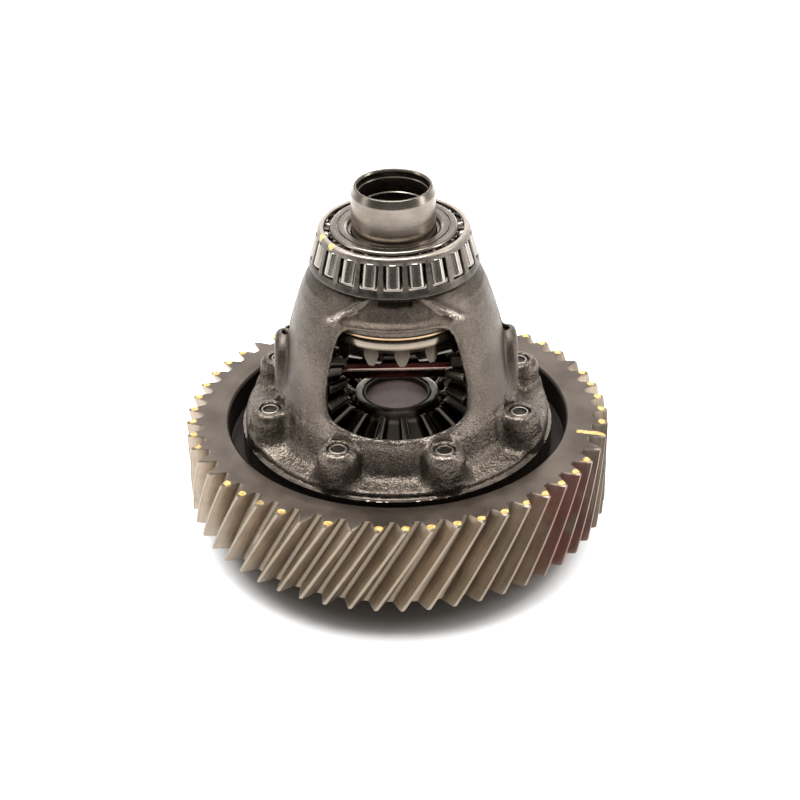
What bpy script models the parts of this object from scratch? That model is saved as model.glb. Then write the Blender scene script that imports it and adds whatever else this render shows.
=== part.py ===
"""Transaxle differential: a cast case with a helical ring gear bolted to its flange,
bevel gears turning inside it, and a taper-roller bearing on each hub.

Metres, +Z up along the axis that everything turns about. The origin is the centre of
the lower hub's end face, so the assembly stands on that hub.
"""
import math

import bmesh
import bpy
from mathutils import Matrix, Vector

# Overall layout along the axis
HUB_TOP_Z = 0.1845            # end face of the upper hub
APEX_Z = 0.0876               # axis of the cross shaft, where all bevel cones meet
GAP = 0.0003                  # between neighbours that rest on each other

# Ring gear
GEAR_TEETH = 53
GEAR_TIP_R = 0.105
GEAR_ROOT_R = 0.0969
GEAR_TOP_Z = 0.060
GEAR_WIDTH = 0.0455
GEAR_HELIX_TWIST = math.radians(14.93)     # right-hand, over the full width
GEAR_TOP_PHASE = math.radians(-0.14)       # a tooth's centre on the top face
GEAR_TIP_LAND = 0.0022
GEAR_ROOT_LAND = 0.0028
GEAR_RIM_INNER_R = 0.084
GEAR_SLICES = 2
WEB_TOP_Z = 0.0457
WEB_BOTTOM_Z = 0.0317
WEB_BORE_R = 0.0458

# Case
HUB_R = 0.020
HUB_BORE_R = 0.0166
HUB_CHAMFER = 0.0037
SHOULDER_UPPER_Z = 0.1442     # faces that the bearing cones sit on
SHOULDER_LOWER_Z = 0.0297
FLANGE_R = 0.077
FLANGE_TOP_Z = 0.0575
BELL_FOOT_R = 0.0590
CAVITY_R = 0.042              # machined bore that the side gears turn in
THRUST_H = 0.0365             # from the apex to the side gears' thrust faces
SEAT_SPHERE_R = 0.0471        # seat of the pinion washers
COUNTERBORE_R = 0.0214
COUNTERBORE_TOP_Z = 0.1407
COUNTERBORE_BOTTOM_Z = 0.0345
ROOF_CORE_R = 0.041
WINDOW_BOTTOM_Z = 0.0797
WINDOW_TOP_Z = 0.1329
WINDOW_WIDEST_Z = 0.0970
WINDOW_HALF_WIDTH = 0.0333
WINDOW_TOP_HALF_WIDTH = 0.0278
SHAFT_BOSS_X = 0.0585
SHAFT_BOSS_HALF_WIDTH = 0.013
SHAFT_BOSS_TOP_Z = 0.111
PULLER_NOTCH_HALF_WIDTH = 0.008
PULLER_NOTCH_BOTTOM_Z = 0.1402

# Ring gear bolts
BOLT_COUNT = 8
BOLT_CIRCLE_R = 0.0655
BOLT_FIRST_ANGLE = math.radians(-25.5)
BOLT_R = 0.005
BOLT_HOLE_R = 0.0053
BOLT_BOSS_R = 0.0105
BOLT_BOSS_TOP_Z = 0.0775
BOLT_HEAD_R = 0.0092          # across the corners
BOLT_HEAD_HEIGHT = 0.0075
BOLT_FLANGE_R = 0.0100
BOLT_FLANGE_HEIGHT = 0.0018

# Cross shaft
SHAFT_R = 0.007
SHAFT_HALF_LENGTH = 0.0575
SHAFT_CLEARANCE = 0.0003
LOCK_PIN_X = -0.0515
LOCK_PIN_R = 0.0025
LOCK_PIN_BOTTOM_Z = 0.0745
LOCK_PIN_TOP_Z = 0.1095

# Bevel gears
SIDE_TEETH = 16
PINION_TEETH = 11
MODULE = 0.00445
PRESSURE_ANGLE = math.radians(25.0)
TOE_SCALE = 0.70
SIDE_ADDENDUM = 0.75 * MODULE
PINION_ADDENDUM = 0.85 * MODULE
ROOT_CLEARANCE = 0.17 * MODULE
SIDE_THICKNESS_SHARE = 0.43   # of the circular pitch
BACKLASH = 0.00036
SIDE_PITCH_ANGLE = math.atan2(SIDE_TEETH, PINION_TEETH)
PINION_PITCH_ANGLE = math.atan2(PINION_TEETH, SIDE_TEETH)
LOWER_SIDE_PHASE = math.radians(6.95)
SIDE_BACK_H = 0.0347
SIDE_RIM_R = 0.0383
SIDE_HUB_R = 0.0210
SIDE_HUB_END_H = 0.0510
SIDE_FACE_H = 0.0154
SIDE_BORE_R = 0.0140
PLUG_SEAT_R = 0.0168
PLUG_THICKNESS = 0.0033
SIDE_WASHER_R = 0.0355
PINION_BACK_R = 0.0455
PINION_WASHER_R = 0.0195

# Taper-roller bearings, heights measured from the shoulder
ROLLER_COUNT = 21
ROLLER_FIRST_ANGLE = math.radians(-91.3)
ROLLER_TILT = math.radians(14.2)
ROLLER_HALF_TAPER = math.radians(1.81)
ROLLER_R = 0.0044
ROLLER_CENTRE_R = 0.0343
ROLLER_CENTRE_H = 0.0104
ROLLER_LARGE_END = -0.0059    # along the roller's axis, from its centre
ROLLER_SMALL_END = 0.0057
CONE_BORE_R = 0.0203
CONE_H = 0.0201
CONE_SMALL_RIB_R = 0.0306
CONE_LARGE_RIB_R = 0.0345
RACEWAY_GAP = 0.0001
CAGE_LARGE_R = 0.0410
CAGE_SMALL_R = 0.0359
CAGE_LIP_R = 0.0334
CAGE_BOTTOM_H = 0.0010
CAGE_TOP_H = 0.0193
CAGE_THICKNESS = 0.0015
WINDOW_WIDTH = 0.0080
WINDOW_LARGE_END = -0.0072
WINDOW_SMALL_END = 0.00635

LARGE_STEPS = 32
SMALL_STEPS = 20


# ---------------------------------------------------------------- helpers

def clear_scene():
    for old in list(bpy.data.objects):
        bpy.data.objects.remove(old, do_unlink=True)


def make_collection(name):
    collection = bpy.data.collections.new(name)
    bpy.context.scene.collection.children.link(collection)
    return collection


def make_material(name, colour, roughness, metallic):
    material = bpy.data.materials.new(name)
    material.use_nodes = True
    shader = material.node_tree.nodes["Principled BSDF"]
    shader.inputs["Base Color"].default_value = (*colour, 1.0)
    shader.inputs["Roughness"].default_value = roughness
    shader.inputs["Metallic"].default_value = metallic
    return material


def add_object(name, mesh, collection):
    obj = bpy.data.objects.new(name, mesh)
    collection.objects.link(obj)
    return obj


def from_bmesh(name, bm, collection):
    mesh = bpy.data.meshes.new(name)
    bm.to_mesh(mesh)
    bm.free()
    return add_object(name, mesh, collection)


def weld(obj):
    """Closes the seams that the cuts leave."""
    modifier = obj.modifiers.new("Weld", "WELD")
    modifier.merge_threshold = 0.00001


def finish_part(obj, material):
    obj.data.materials.append(material)
    obj.data.shade_smooth()
    obj.data.set_sharp_from_angle(angle=math.radians(35))
    return obj


def turned(name, profile, collection, steps=LARGE_STEPS):
    """A ring turned about Z from a closed (radius, height) outline, outer side downwards."""
    mesh = bpy.data.meshes.new(name)
    count = len(profile)
    mesh.from_pydata(
        [(radius, 0.0, height) for radius, height in profile],
        [(i, (i + 1) % count) for i in range(count)],
        [],
    )
    obj = add_object(name, mesh, collection)
    screw = obj.modifiers.new("Turn", "SCREW")
    screw.axis = "Z"
    screw.steps = steps
    screw.render_steps = steps
    screw.use_merge_vertices = True
    screw.merge_threshold = 0.00001
    return obj


def cylinder(name, radius, length, collection, segments=SMALL_STEPS, radius_top=None):
    """A cylinder or cone frustum about Z, centred on its own origin."""
    bm = bmesh.new()
    bmesh.ops.create_cone(
        bm, cap_ends=True, segments=segments, radius1=radius,
        radius2=radius if radius_top is None else radius_top, depth=length,
    )
    return from_bmesh(name, bm, collection)


def block(name, low, high, collection):
    """A box between two corners."""
    bm = bmesh.new()
    bmesh.ops.create_cube(bm, size=1.0)
    size = Vector(high) - Vector(low)
    bmesh.ops.scale(bm, vec=size, verts=bm.verts)
    bmesh.ops.translate(bm, vec=(Vector(high) + Vector(low)) / 2, verts=bm.verts)
    return from_bmesh(name, bm, collection)


def prism(name, outline, length, collection):
    """A flat outline given in (x, z), stretched along Y to both sides."""
    curve = bpy.data.curves.new(name, "CURVE")
    curve.dimensions = "2D"
    curve.fill_mode = "BOTH"
    curve.extrude = length / 2
    spline = curve.splines.new("POLY")
    spline.points.add(len(outline) - 1)
    spline.use_cyclic_u = True
    for point, (x, z) in zip(spline.points, outline):
        point.co = (x, z, 0.0, 1.0)
    source = add_object(name + "_outline", curve, collection)
    source.rotation_euler.x = math.pi / 2
    bpy.context.view_layer.update()
    mesh = bpy.data.meshes.new_from_object(
        source.evaluated_get(bpy.context.evaluated_depsgraph_get()))
    bm = bmesh.new()
    bm.from_mesh(mesh)
    bmesh.ops.remove_doubles(bm, verts=bm.verts, dist=0.00001)
    bmesh.ops.recalc_face_normals(bm, faces=bm.faces)
    bm.to_mesh(mesh)
    bm.free()
    obj = add_object(name, mesh, collection)
    obj.matrix_world = source.matrix_world
    bpy.data.objects.remove(source, do_unlink=True)
    return obj


def combine(target, other, operation):
    """Cut `other` from `target`, or join it on; `other` is only a guide."""
    other.hide_render = True
    other.display_type = "WIRE"
    modifier = target.modifiers.new(other.name, "BOOLEAN")
    modifier.operation = operation
    modifier.object = other


def cut(target, *cutters):
    for cutter in cutters:
        combine(target, cutter, "DIFFERENCE")


def join(target, *pieces):
    for piece in pieces:
        combine(target, piece, "UNION")


def bolt_angles():
    return [BOLT_FIRST_ANGLE + math.tau * k / BOLT_COUNT for k in range(BOLT_COUNT)]


def on_circle(radius, angle, z=0.0):
    return Vector((radius * math.cos(angle), radius * math.sin(angle), z))


# ---------------------------------------------------------------- case

def bell_profile():
    """Outer side of the case, from the top of the upper hub to the foot of the lower one."""
    upper = [
        (HUB_R - 0.0015, HUB_TOP_Z),
        (HUB_R, HUB_TOP_Z - HUB_CHAMFER),
        (HUB_R, SHOULDER_UPPER_Z),
        (0.0378, SHOULDER_UPPER_Z),
        (0.0402, 0.1404),
        (0.0432, 0.1370),
        (0.0463, 0.1295),
        (0.0490, 0.1205),
        (0.0518, 0.1105),
        (0.0555, 0.0950),
        (BELL_FOOT_R, 0.0775),
    ]
    flange = [
        (BELL_FOOT_R + 0.0025, 0.0640),
        (0.0720, FLANGE_TOP_Z + 0.0012),
        (FLANGE_R - 0.0006, FLANGE_TOP_Z),
        (FLANGE_R, FLANGE_TOP_Z - 0.0006),
        (FLANGE_R, WEB_TOP_Z + GAP),
    ]
    pilot_r = WEB_BORE_R - GAP
    lower = [
        (pilot_r, WEB_TOP_Z + GAP),
        (pilot_r, WEB_BOTTOM_Z + 0.0008),
        (0.0385, SHOULDER_LOWER_Z),
        (HUB_R, SHOULDER_LOWER_Z),
        (HUB_R, HUB_CHAMFER),
        (HUB_R - 0.0015, 0.0),
    ]
    return upper + flange + lower


def hub_bore_profile():
    """Bore through both hubs, upwards, with the seal lands at the upper end."""
    return [
        (HUB_BORE_R + 0.0006, 0.0),
        (HUB_BORE_R, 0.0010),
        (HUB_BORE_R - 0.0007, HUB_TOP_Z - 0.0116),
        (HUB_BORE_R, HUB_TOP_Z - 0.0112),
        (HUB_BORE_R, HUB_TOP_Z - 0.0041),
        (HUB_BORE_R + 0.0004, HUB_TOP_Z - 0.0037),
        (HUB_BORE_R + 0.0004, HUB_TOP_Z - 0.0009),
        (HUB_BORE_R + 0.0008, HUB_TOP_Z),
    ]


def cavity_profile():
    """Space inside the case: two thrust faces, two bores and a spherical waist."""
    corner = 0.0025
    half_waist = math.sqrt(SEAT_SPHERE_R ** 2 - CAVITY_R ** 2)
    arc_steps = 6
    first = math.asin(half_waist / SEAT_SPHERE_R)
    arc = [first * (1 - 2 * k / arc_steps) for k in range(arc_steps + 1)]
    waist = [(SEAT_SPHERE_R * math.cos(a), APEX_Z + SEAT_SPHERE_R * math.sin(a)) for a in arc]
    top = [
        (COUNTERBORE_R, COUNTERBORE_TOP_Z),
        (COUNTERBORE_R, APEX_Z + THRUST_H),
        (CAVITY_R - corner, APEX_Z + THRUST_H),
        (CAVITY_R, APEX_Z + THRUST_H - corner),
    ]
    bottom = [
        (CAVITY_R, APEX_Z - THRUST_H + corner),
        (CAVITY_R - corner, APEX_Z - THRUST_H),
        (COUNTERBORE_R, APEX_Z - THRUST_H),
        (COUNTERBORE_R, COUNTERBORE_BOTTOM_Z),
    ]
    inside_bore = HUB_BORE_R / 2
    return top + waist + bottom + [(inside_bore, COUNTERBORE_BOTTOM_Z), (inside_bore, COUNTERBORE_TOP_Z)]


def window_outline():
    """Half of the window runs from the sill's middle up one side; the other half mirrors it."""
    sill_steps = 6
    half = []
    for k in range(sill_steps + 1):
        angle = math.pi / 2 * k / sill_steps
        x = WINDOW_HALF_WIDTH * math.sin(angle)
        z = WINDOW_WIDEST_Z - (WINDOW_WIDEST_Z - WINDOW_BOTTOM_Z) * math.cos(angle) ** 0.8
        half.append((x, z))
    corner = 0.006
    half.append((WINDOW_TOP_HALF_WIDTH, WINDOW_TOP_Z - corner))
    half.append((WINDOW_TOP_HALF_WIDTH - 0.3 * corner, WINDOW_TOP_Z - 0.3 * corner))
    half.append((WINDOW_TOP_HALF_WIDTH - corner, WINDOW_TOP_Z))
    mirrored = [(-x, z) for x, z in reversed(half) if x > 0.0]
    return half + mirrored


def make_case(parts, guides, material):
    case = turned("differential_case", bell_profile() + hub_bore_profile(), parts)
    for side, sign in (("right", 1), ("left", -1)):
        boss = block(
            "shaft_boss_" + side,
            (min(sign * 0.045, sign * SHAFT_BOSS_X), -SHAFT_BOSS_HALF_WIDTH, 0.064),
            (max(sign * 0.045, sign * SHAFT_BOSS_X), SHAFT_BOSS_HALF_WIDTH, SHAFT_BOSS_TOP_Z),
            guides,
        )
        round_edges = boss.modifiers.new("Rounded", "BEVEL")
        round_edges.width = 0.004
        round_edges.segments = 2
        join(case, boss)
    for k, angle in enumerate(bolt_angles(), start=1):
        foot_z = 0.055
        boss = cylinder("bolt_boss_%d" % k, BOLT_BOSS_R + 0.001, BOLT_BOSS_TOP_Z - foot_z, guides,
                        segments=14, radius_top=BOLT_BOSS_R)
        boss.location = on_circle(BOLT_CIRCLE_R, angle, (BOLT_BOSS_TOP_Z + foot_z) / 2)
        join(case, boss)
    cut(case, prism("window_cutter", window_outline(), 0.16, guides))
    core = [
        (ROOF_CORE_R, WINDOW_TOP_Z + 0.003),
        (ROOF_CORE_R, APEX_Z + THRUST_H - 0.003),
        (HUB_BORE_R + 0.002, APEX_Z + THRUST_H - 0.003),
        (HUB_BORE_R + 0.002, WINDOW_TOP_Z + 0.003),
    ]
    join(case, turned("roof_core", core, guides))
    cut(case, turned("cavity_cutter", cavity_profile(), guides))
    shaft_hole = cylinder("shaft_hole_cutter", SHAFT_R + SHAFT_CLEARANCE, 0.14, guides)
    shaft_hole.location.z = APEX_Z
    shaft_hole.rotation_euler.y = math.pi / 2
    pin_top = SHAFT_BOSS_TOP_Z + 0.002
    pin_bottom = LOCK_PIN_BOTTOM_Z - 0.0008
    pin_hole = cylinder("lock_pin_hole_cutter", LOCK_PIN_R + GAP, pin_top - pin_bottom, guides, segments=12)
    pin_hole.location = (LOCK_PIN_X, 0.0, (pin_top + pin_bottom) / 2)
    cut(case, shaft_hole, pin_hole)
    for k, angle in enumerate(bolt_angles(), start=1):
        hole = cylinder("bolt_hole_%d" % k, BOLT_HOLE_R, 0.08, guides, segments=12)
        hole.location = on_circle(BOLT_CIRCLE_R, angle, 0.07)
        cut(case, hole)
    for side, sign in (("front", -1), ("back", 1)):
        near, far = sorted((sign * 0.031, sign * 0.060))
        cut(case, block("puller_notch_" + side, (-PULLER_NOTCH_HALF_WIDTH, near, PULLER_NOTCH_BOTTOM_Z),
                        (PULLER_NOTCH_HALF_WIDTH, far, SHOULDER_UPPER_Z + 0.003), guides))
    weld(case)
    return finish_part(case, material)


# ---------------------------------------------------------------- ring gear

def ring_gear_outline():
    """One turn of the tooth outline as (radius, angle) pairs."""
    tip_half = GEAR_TIP_LAND / 2 / GEAR_TIP_R
    root_half = GEAR_ROOT_LAND / 2 / GEAR_ROOT_R
    pitch = math.tau / GEAR_TEETH
    points = []
    for k in range(GEAR_TEETH):
        centre = k * pitch
        points.append((GEAR_ROOT_R, centre - pitch / 2 + root_half))
        points.append((GEAR_TIP_R, centre - tip_half))
        points.append((GEAR_TIP_R, centre + tip_half))
        points.append((GEAR_ROOT_R, centre + pitch / 2 - root_half))
    return points


def make_ring_gear(parts, guides, material):
    bm = bmesh.new()
    outline = ring_gear_outline()
    rings = []
    for k in range(GEAR_SLICES + 1):
        fraction = k / GEAR_SLICES
        turn = GEAR_TOP_PHASE - GEAR_HELIX_TWIST * (1 - fraction)
        z = GEAR_TOP_Z - GEAR_WIDTH * (1 - fraction)
        rings.append([bm.verts.new(on_circle(r, a + turn, z)) for r, a in outline])
    count = len(outline)
    for low, high in zip(rings, rings[1:]):
        for i in range(count):
            j = (i + 1) % count
            bm.faces.new((low[i], low[j], high[j], high[i]))
    bm.faces.new(list(reversed(rings[0])))
    bm.faces.new(rings[-1])
    gear = from_bmesh("ring_gear", bm, parts)

    bottom_z = GEAR_TOP_Z - GEAR_WIDTH
    chamfer = 0.0008
    hub_hollow = [
        (GEAR_RIM_INNER_R + 2 * chamfer, GEAR_TOP_Z + chamfer),
        (GEAR_RIM_INNER_R, GEAR_TOP_Z - chamfer),
        (GEAR_RIM_INNER_R, WEB_TOP_Z),
        (WEB_BORE_R, WEB_TOP_Z),
        (WEB_BORE_R, WEB_BOTTOM_Z),
        (GEAR_RIM_INNER_R, WEB_BOTTOM_Z),
        (GEAR_RIM_INNER_R, bottom_z + chamfer),
        (GEAR_RIM_INNER_R + 2 * chamfer, bottom_z - chamfer),
        (0.0, bottom_z - chamfer),
        (0.0, GEAR_TOP_Z + chamfer),
    ]
    cut(gear, turned("gear_hollow_cutter", hub_hollow, guides))
    for k, angle in enumerate(bolt_angles(), start=1):
        hole = cylinder("web_hole_%d" % k, BOLT_HOLE_R + 0.0002, 0.03, guides, segments=12)
        hole.location = on_circle(BOLT_CIRCLE_R, angle, (WEB_TOP_Z + WEB_BOTTOM_Z) / 2)
        cut(gear, hole)
    return finish_part(gear, material)


def make_bolts(parts, guides, material):
    """Hexagon flange bolts from below, whose tips show in the case's bosses."""
    seat_z = WEB_BOTTOM_Z - GAP
    tip_z = BOLT_BOSS_TOP_Z - 0.0011
    for k, angle in enumerate(bolt_angles(), start=1):
        bm = bmesh.new()
        steps = 12
        rings = [
            (BOLT_R - 0.0010, tip_z),
            (BOLT_R, tip_z - 0.0012),
            (BOLT_R, seat_z),
            (BOLT_FLANGE_R, seat_z),
            (BOLT_FLANGE_R, seat_z - BOLT_FLANGE_HEIGHT),
        ]
        loops = []
        for radius, z in rings:
            loops.append([bm.verts.new(on_circle(radius, math.tau * i / steps, z)) for i in range(steps)])
        for upper, lower in zip(loops, loops[1:]):
            for i in range(steps):
                j = (i + 1) % steps
                bm.faces.new((upper[i], lower[i], lower[j], upper[j]))
        bm.faces.new(loops[0])
        bm.faces.new(list(reversed(loops[-1])))
        bolt = from_bmesh("ring_gear_bolt_%d" % k, bm, parts)
        head = cylinder("bolt_head_%d" % k, BOLT_HEAD_R, BOLT_HEAD_HEIGHT, guides, segments=6)
        head.location = on_circle(BOLT_CIRCLE_R, angle, seat_z - 0.0004 - BOLT_HEAD_HEIGHT / 2)
        bolt.location = on_circle(BOLT_CIRCLE_R, angle)
        join(bolt, head)
        finish_part(bolt, material)


# ---------------------------------------------------------------- cross shaft

def make_cross_shaft(parts, guides, shaft_material, pin_material):
    bm = bmesh.new()
    bmesh.ops.create_cone(bm, cap_ends=True, segments=SMALL_STEPS, radius1=SHAFT_R, radius2=SHAFT_R,
                          depth=2 * SHAFT_HALF_LENGTH)
    shaft = from_bmesh("cross_shaft", bm, parts)
    shaft.location.z = APEX_Z
    shaft.rotation_euler.y = math.pi / 2
    hole = cylinder("shaft_pin_hole_cutter", LOCK_PIN_R + GAP, 4 * SHAFT_R, guides, segments=12)
    hole.location = (LOCK_PIN_X, 0.0, APEX_Z)
    cut(shaft, hole)
    finish_part(shaft, shaft_material)
    pin = cylinder("cross_shaft_lock_pin", LOCK_PIN_R, LOCK_PIN_TOP_Z - LOCK_PIN_BOTTOM_Z, parts, segments=12)
    pin.location = (LOCK_PIN_X, 0.0, (LOCK_PIN_TOP_Z + LOCK_PIN_BOTTOM_Z) / 2)
    finish_part(pin, pin_material)


# ---------------------------------------------------------------- bevel gears

def involute(angle):
    return math.tan(angle) - angle


def bevel_flank(teeth, pitch_angle, addendum, dedendum, thickness):
    """Half a tooth on the back cone, root to tip, as (distance on the cone, half angle) pairs."""
    pitch = teeth * MODULE / 2 / math.cos(pitch_angle)
    base = pitch * math.cos(PRESSURE_ANGLE)
    flank_steps = 2
    points = []
    for k in range(flank_steps + 1):
        distance = pitch - dedendum + (addendum + dedendum) * k / flank_steps
        pressure = math.acos(min(1.0, base / distance))
        half = thickness / 2 / pitch + involute(PRESSURE_ANGLE) - involute(pressure)
        points.append((distance, half))
    return points


def bevel_outline(teeth, pitch_angle, addendum, dedendum, thickness):
    """Heel outline of a bevel gear as (radius, height below the apex, angle) triples."""
    flank = bevel_flank(teeth, pitch_angle, addendum, dedendum, thickness)
    cone_distance = teeth * MODULE / 2 / math.sin(pitch_angle)
    back_apex = cone_distance / math.cos(pitch_angle)
    points = []
    for k in range(teeth):
        centre = math.tau * k / teeth
        rising = [(distance, centre - half / math.cos(pitch_angle)) for distance, half in flank]
        falling = [(distance, centre + half / math.cos(pitch_angle)) for distance, half in reversed(flank)]
        for distance, angle in rising + falling:
            radius = distance * math.cos(pitch_angle)
            height = back_apex - distance * math.sin(pitch_angle)
            points.append((radius, height, angle))
    return points


def toothed_cone(name, outline, phase, toe_scale, toe_cap_h, heel_cap_h, collection):
    """Straight bevel teeth between heel and toe, closed by a shallow cone at each end."""
    bm = bmesh.new()
    loops = []
    for scale in (1.0, toe_scale):
        loops.append([bm.verts.new(on_circle(r * scale, a + phase, -h * scale)) for r, h, a in outline])
    heel, toe = loops
    heel_point = bm.verts.new((0.0, 0.0, -heel_cap_h))
    toe_point = bm.verts.new((0.0, 0.0, -toe_cap_h))
    count = len(outline)
    for i in range(count):
        j = (i + 1) % count
        bm.faces.new((heel[i], heel[j], toe[j], toe[i]))
        bm.faces.new((toe[i], toe[j], toe_point))
        bm.faces.new((heel[j], heel[i], heel_point))
    return from_bmesh(name, bm, collection)


def side_gear_body():
    """Hub, rim and back of a side gear, below the apex."""
    root_slope = 1.02 * (PINION_TEETH * MODULE / 2) / (SIDE_TEETH * MODULE / 2)
    return [
        (0.0215, -SIDE_FACE_H),
        (0.0230, -SIDE_FACE_H - 0.0015),
        (0.0230, -0.0210),
        (0.0330, -0.0210 - 0.0100 * root_slope),
        (SIDE_RIM_R, -0.0273),
        (SIDE_RIM_R, -0.0307),
        (SIDE_RIM_R - 0.0020, -SIDE_BACK_H),
        (SIDE_HUB_R, -SIDE_BACK_H),
        (SIDE_HUB_R, -SIDE_HUB_END_H),
        (SIDE_BORE_R - 0.002, -SIDE_HUB_END_H),
        (SIDE_BORE_R - 0.002, -SIDE_FACE_H),
    ]


def side_gear_bore():
    return [
        (PLUG_SEAT_R, -SIDE_FACE_H + 0.004),
        (PLUG_SEAT_R, -SIDE_FACE_H - 0.0045),
        (SIDE_BORE_R, -SIDE_FACE_H - 0.0045),
        (SIDE_BORE_R, -SIDE_HUB_END_H - 0.002),
        (0.0, -SIDE_HUB_END_H - 0.002),
        (0.0, -SIDE_FACE_H + 0.004),
    ]


def make_side_gear(level, phase, parts, guides, material):
    thickness = SIDE_THICKNESS_SHARE * math.pi * MODULE
    outline = bevel_outline(SIDE_TEETH, SIDE_PITCH_ANGLE, SIDE_ADDENDUM,
                            PINION_ADDENDUM + ROOT_CLEARANCE, thickness)
    gear = toothed_cone("side_gear_" + level, outline, phase, TOE_SCALE, 0.0185, 0.0300, parts)
    body = turned("side_gear_body_" + level, side_gear_body(), guides)
    bore = turned("side_gear_bore_" + level, side_gear_bore(), guides, steps=24)
    flip = math.pi if level == "upper" else 0.0
    for obj in (gear, body, bore):
        obj.location.z = APEX_Z
        obj.rotation_euler.x = flip
    join(gear, body)
    cut(gear, bore)
    return finish_part(gear, material)


def pinion_body():
    """Core of a pinion, whose back is part of a sphere about the apex."""
    rim_r = 0.0200
    arc_steps = 3
    start = math.asin(rim_r / PINION_BACK_R)
    end = math.asin((SHAFT_R + 0.001) / PINION_BACK_R)
    back = []
    for k in range(arc_steps + 1):
        angle = start + (end - start) * k / arc_steps
        back.append((PINION_BACK_R * math.sin(angle), -PINION_BACK_R * math.cos(angle)))
    inner = SHAFT_R - 0.002
    front = [(0.0125, -0.0268), (0.0145, -0.0300), (rim_r - 0.0005, -0.0375)]
    return front + back + [(inner, back[-1][1]), (inner, -0.0268)]


def make_pinion(side, parts, guides, material):
    thickness = (1 - SIDE_THICKNESS_SHARE) * math.pi * MODULE - BACKLASH
    outline = bevel_outline(PINION_TEETH, PINION_PITCH_ANGLE, PINION_ADDENDUM,
                            SIDE_ADDENDUM + ROOT_CLEARANCE, thickness)
    phase = -LOWER_SIDE_PHASE * SIDE_TEETH / PINION_TEETH
    pinion = toothed_cone("pinion_" + side, outline, phase, TOE_SCALE, 0.0278, 0.0420, parts)
    body = turned("pinion_body_" + side, pinion_body(), guides, steps=24)
    bore = cylinder("pinion_bore_" + side, SHAFT_R + SHAFT_CLEARANCE, 0.12, guides)
    for obj in (pinion, body, bore):
        obj.matrix_world = pinion_frame(side)
    join(pinion, body)
    cut(pinion, bore)
    return finish_part(pinion, material)


def pinion_frame(side):
    """Lays a pinion that was built below the apex along the shaft, its own +X pointing up."""
    outward = 0.0 if side == "right" else math.pi
    tip_over = Matrix.Rotation(-math.pi / 2, 4, "Y")
    return Matrix.Translation((0.0, 0.0, APEX_Z)) @ Matrix.Rotation(outward, 4, "Z") @ tip_over


def make_pinion_washer(side, parts, guides, material):
    """A dished washer between a pinion's back and the case's spherical seat."""
    inner_r = PINION_BACK_R + GAP
    outer_r = SEAT_SPHERE_R - 2 * GAP
    steps = 3
    low = (SHAFT_R + 0.0006) / outer_r
    high = PINION_WASHER_R / outer_r
    angles = [low + (high - low) * k / steps for k in range(steps + 1)]
    top = [(inner_r * math.sin(a), -inner_r * math.cos(a)) for a in angles]
    bottom = [(outer_r * math.sin(a), -outer_r * math.cos(a)) for a in reversed(angles)]
    washer = turned("pinion_washer_" + side, top + bottom, parts, steps=24)
    washer.matrix_world = pinion_frame(side)
    return finish_part(washer, material)


def make_side_washer(level, parts, material):
    sign = 1 if level == "upper" else -1
    near = APEX_Z + sign * (SIDE_BACK_H + GAP)
    far = APEX_Z + sign * (THRUST_H - GAP)
    top, bottom = max(near, far), min(near, far)
    profile = [
        (SIDE_WASHER_R, top),
        (SIDE_WASHER_R, bottom),
        (SIDE_HUB_R + 0.0005, bottom),
        (SIDE_HUB_R + 0.0005, top),
    ]
    return finish_part(turned("side_gear_washer_" + level, profile, parts), material)


def make_plug(parts, material):
    plug = cylinder("side_gear_plug_lower", PLUG_SEAT_R - GAP, PLUG_THICKNESS, parts, segments=24)
    plug.location.z = APEX_Z - SIDE_FACE_H - 0.0004 - PLUG_THICKNESS / 2
    return finish_part(plug, material)


# ---------------------------------------------------------------- bearings

def roller_radius(along):
    return ROLLER_R - along * math.tan(ROLLER_HALF_TAPER)


def roller_point(along, outward):
    """(radius, height) of a point in a roller's own plane: along its axis, and outward from it."""
    sine = math.sin(ROLLER_TILT)
    cosine = math.cos(ROLLER_TILT)
    return (ROLLER_CENTRE_R - along * sine + outward * cosine,
            ROLLER_CENTRE_H + along * cosine + outward * sine)


def cone_profile():
    race_small = roller_point(ROLLER_SMALL_END + 0.0010, -roller_radius(ROLLER_SMALL_END + 0.0010) - RACEWAY_GAP)
    race_large = roller_point(ROLLER_LARGE_END - GAP, -roller_radius(ROLLER_LARGE_END - GAP) - RACEWAY_GAP)
    rib_rise = (CONE_LARGE_RIB_R - race_large[0]) * math.tan(ROLLER_TILT)
    return [
        (0.0220, CONE_H),
        (CONE_SMALL_RIB_R - 0.0004, CONE_H),
        (CONE_SMALL_RIB_R, CONE_H - 0.0006),
        (CONE_SMALL_RIB_R, race_small[1] + 0.0005),
        race_small,
        race_large,
        (CONE_LARGE_RIB_R, race_large[1] + rib_rise),
        (CONE_LARGE_RIB_R, GAP),
        (CONE_BORE_R, GAP),
        (CONE_BORE_R, CONE_H - 0.0012),
    ]


def cage_profile():
    """Pressed-steel shell: a cone with a lip turned in at its small end."""
    slope = (CAGE_LARGE_R - CAGE_SMALL_R) / (CAGE_TOP_H - 0.0005 - CAGE_BOTTOM_H)
    inset = CAGE_THICKNESS / math.cos(math.atan(slope))
    lip_under = CAGE_TOP_H - CAGE_THICKNESS
    shell_at_lip = CAGE_LARGE_R - slope * (lip_under - CAGE_BOTTOM_H)
    return [
        (CAGE_LIP_R, CAGE_TOP_H),
        (CAGE_SMALL_R - 0.0007, CAGE_TOP_H),
        (CAGE_SMALL_R, CAGE_TOP_H - 0.0005),
        (CAGE_LARGE_R, CAGE_BOTTOM_H),
        (CAGE_LARGE_R - inset, CAGE_BOTTOM_H),
        (shell_at_lip - inset, lip_under),
        (CAGE_LIP_R, lip_under),
    ]


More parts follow.
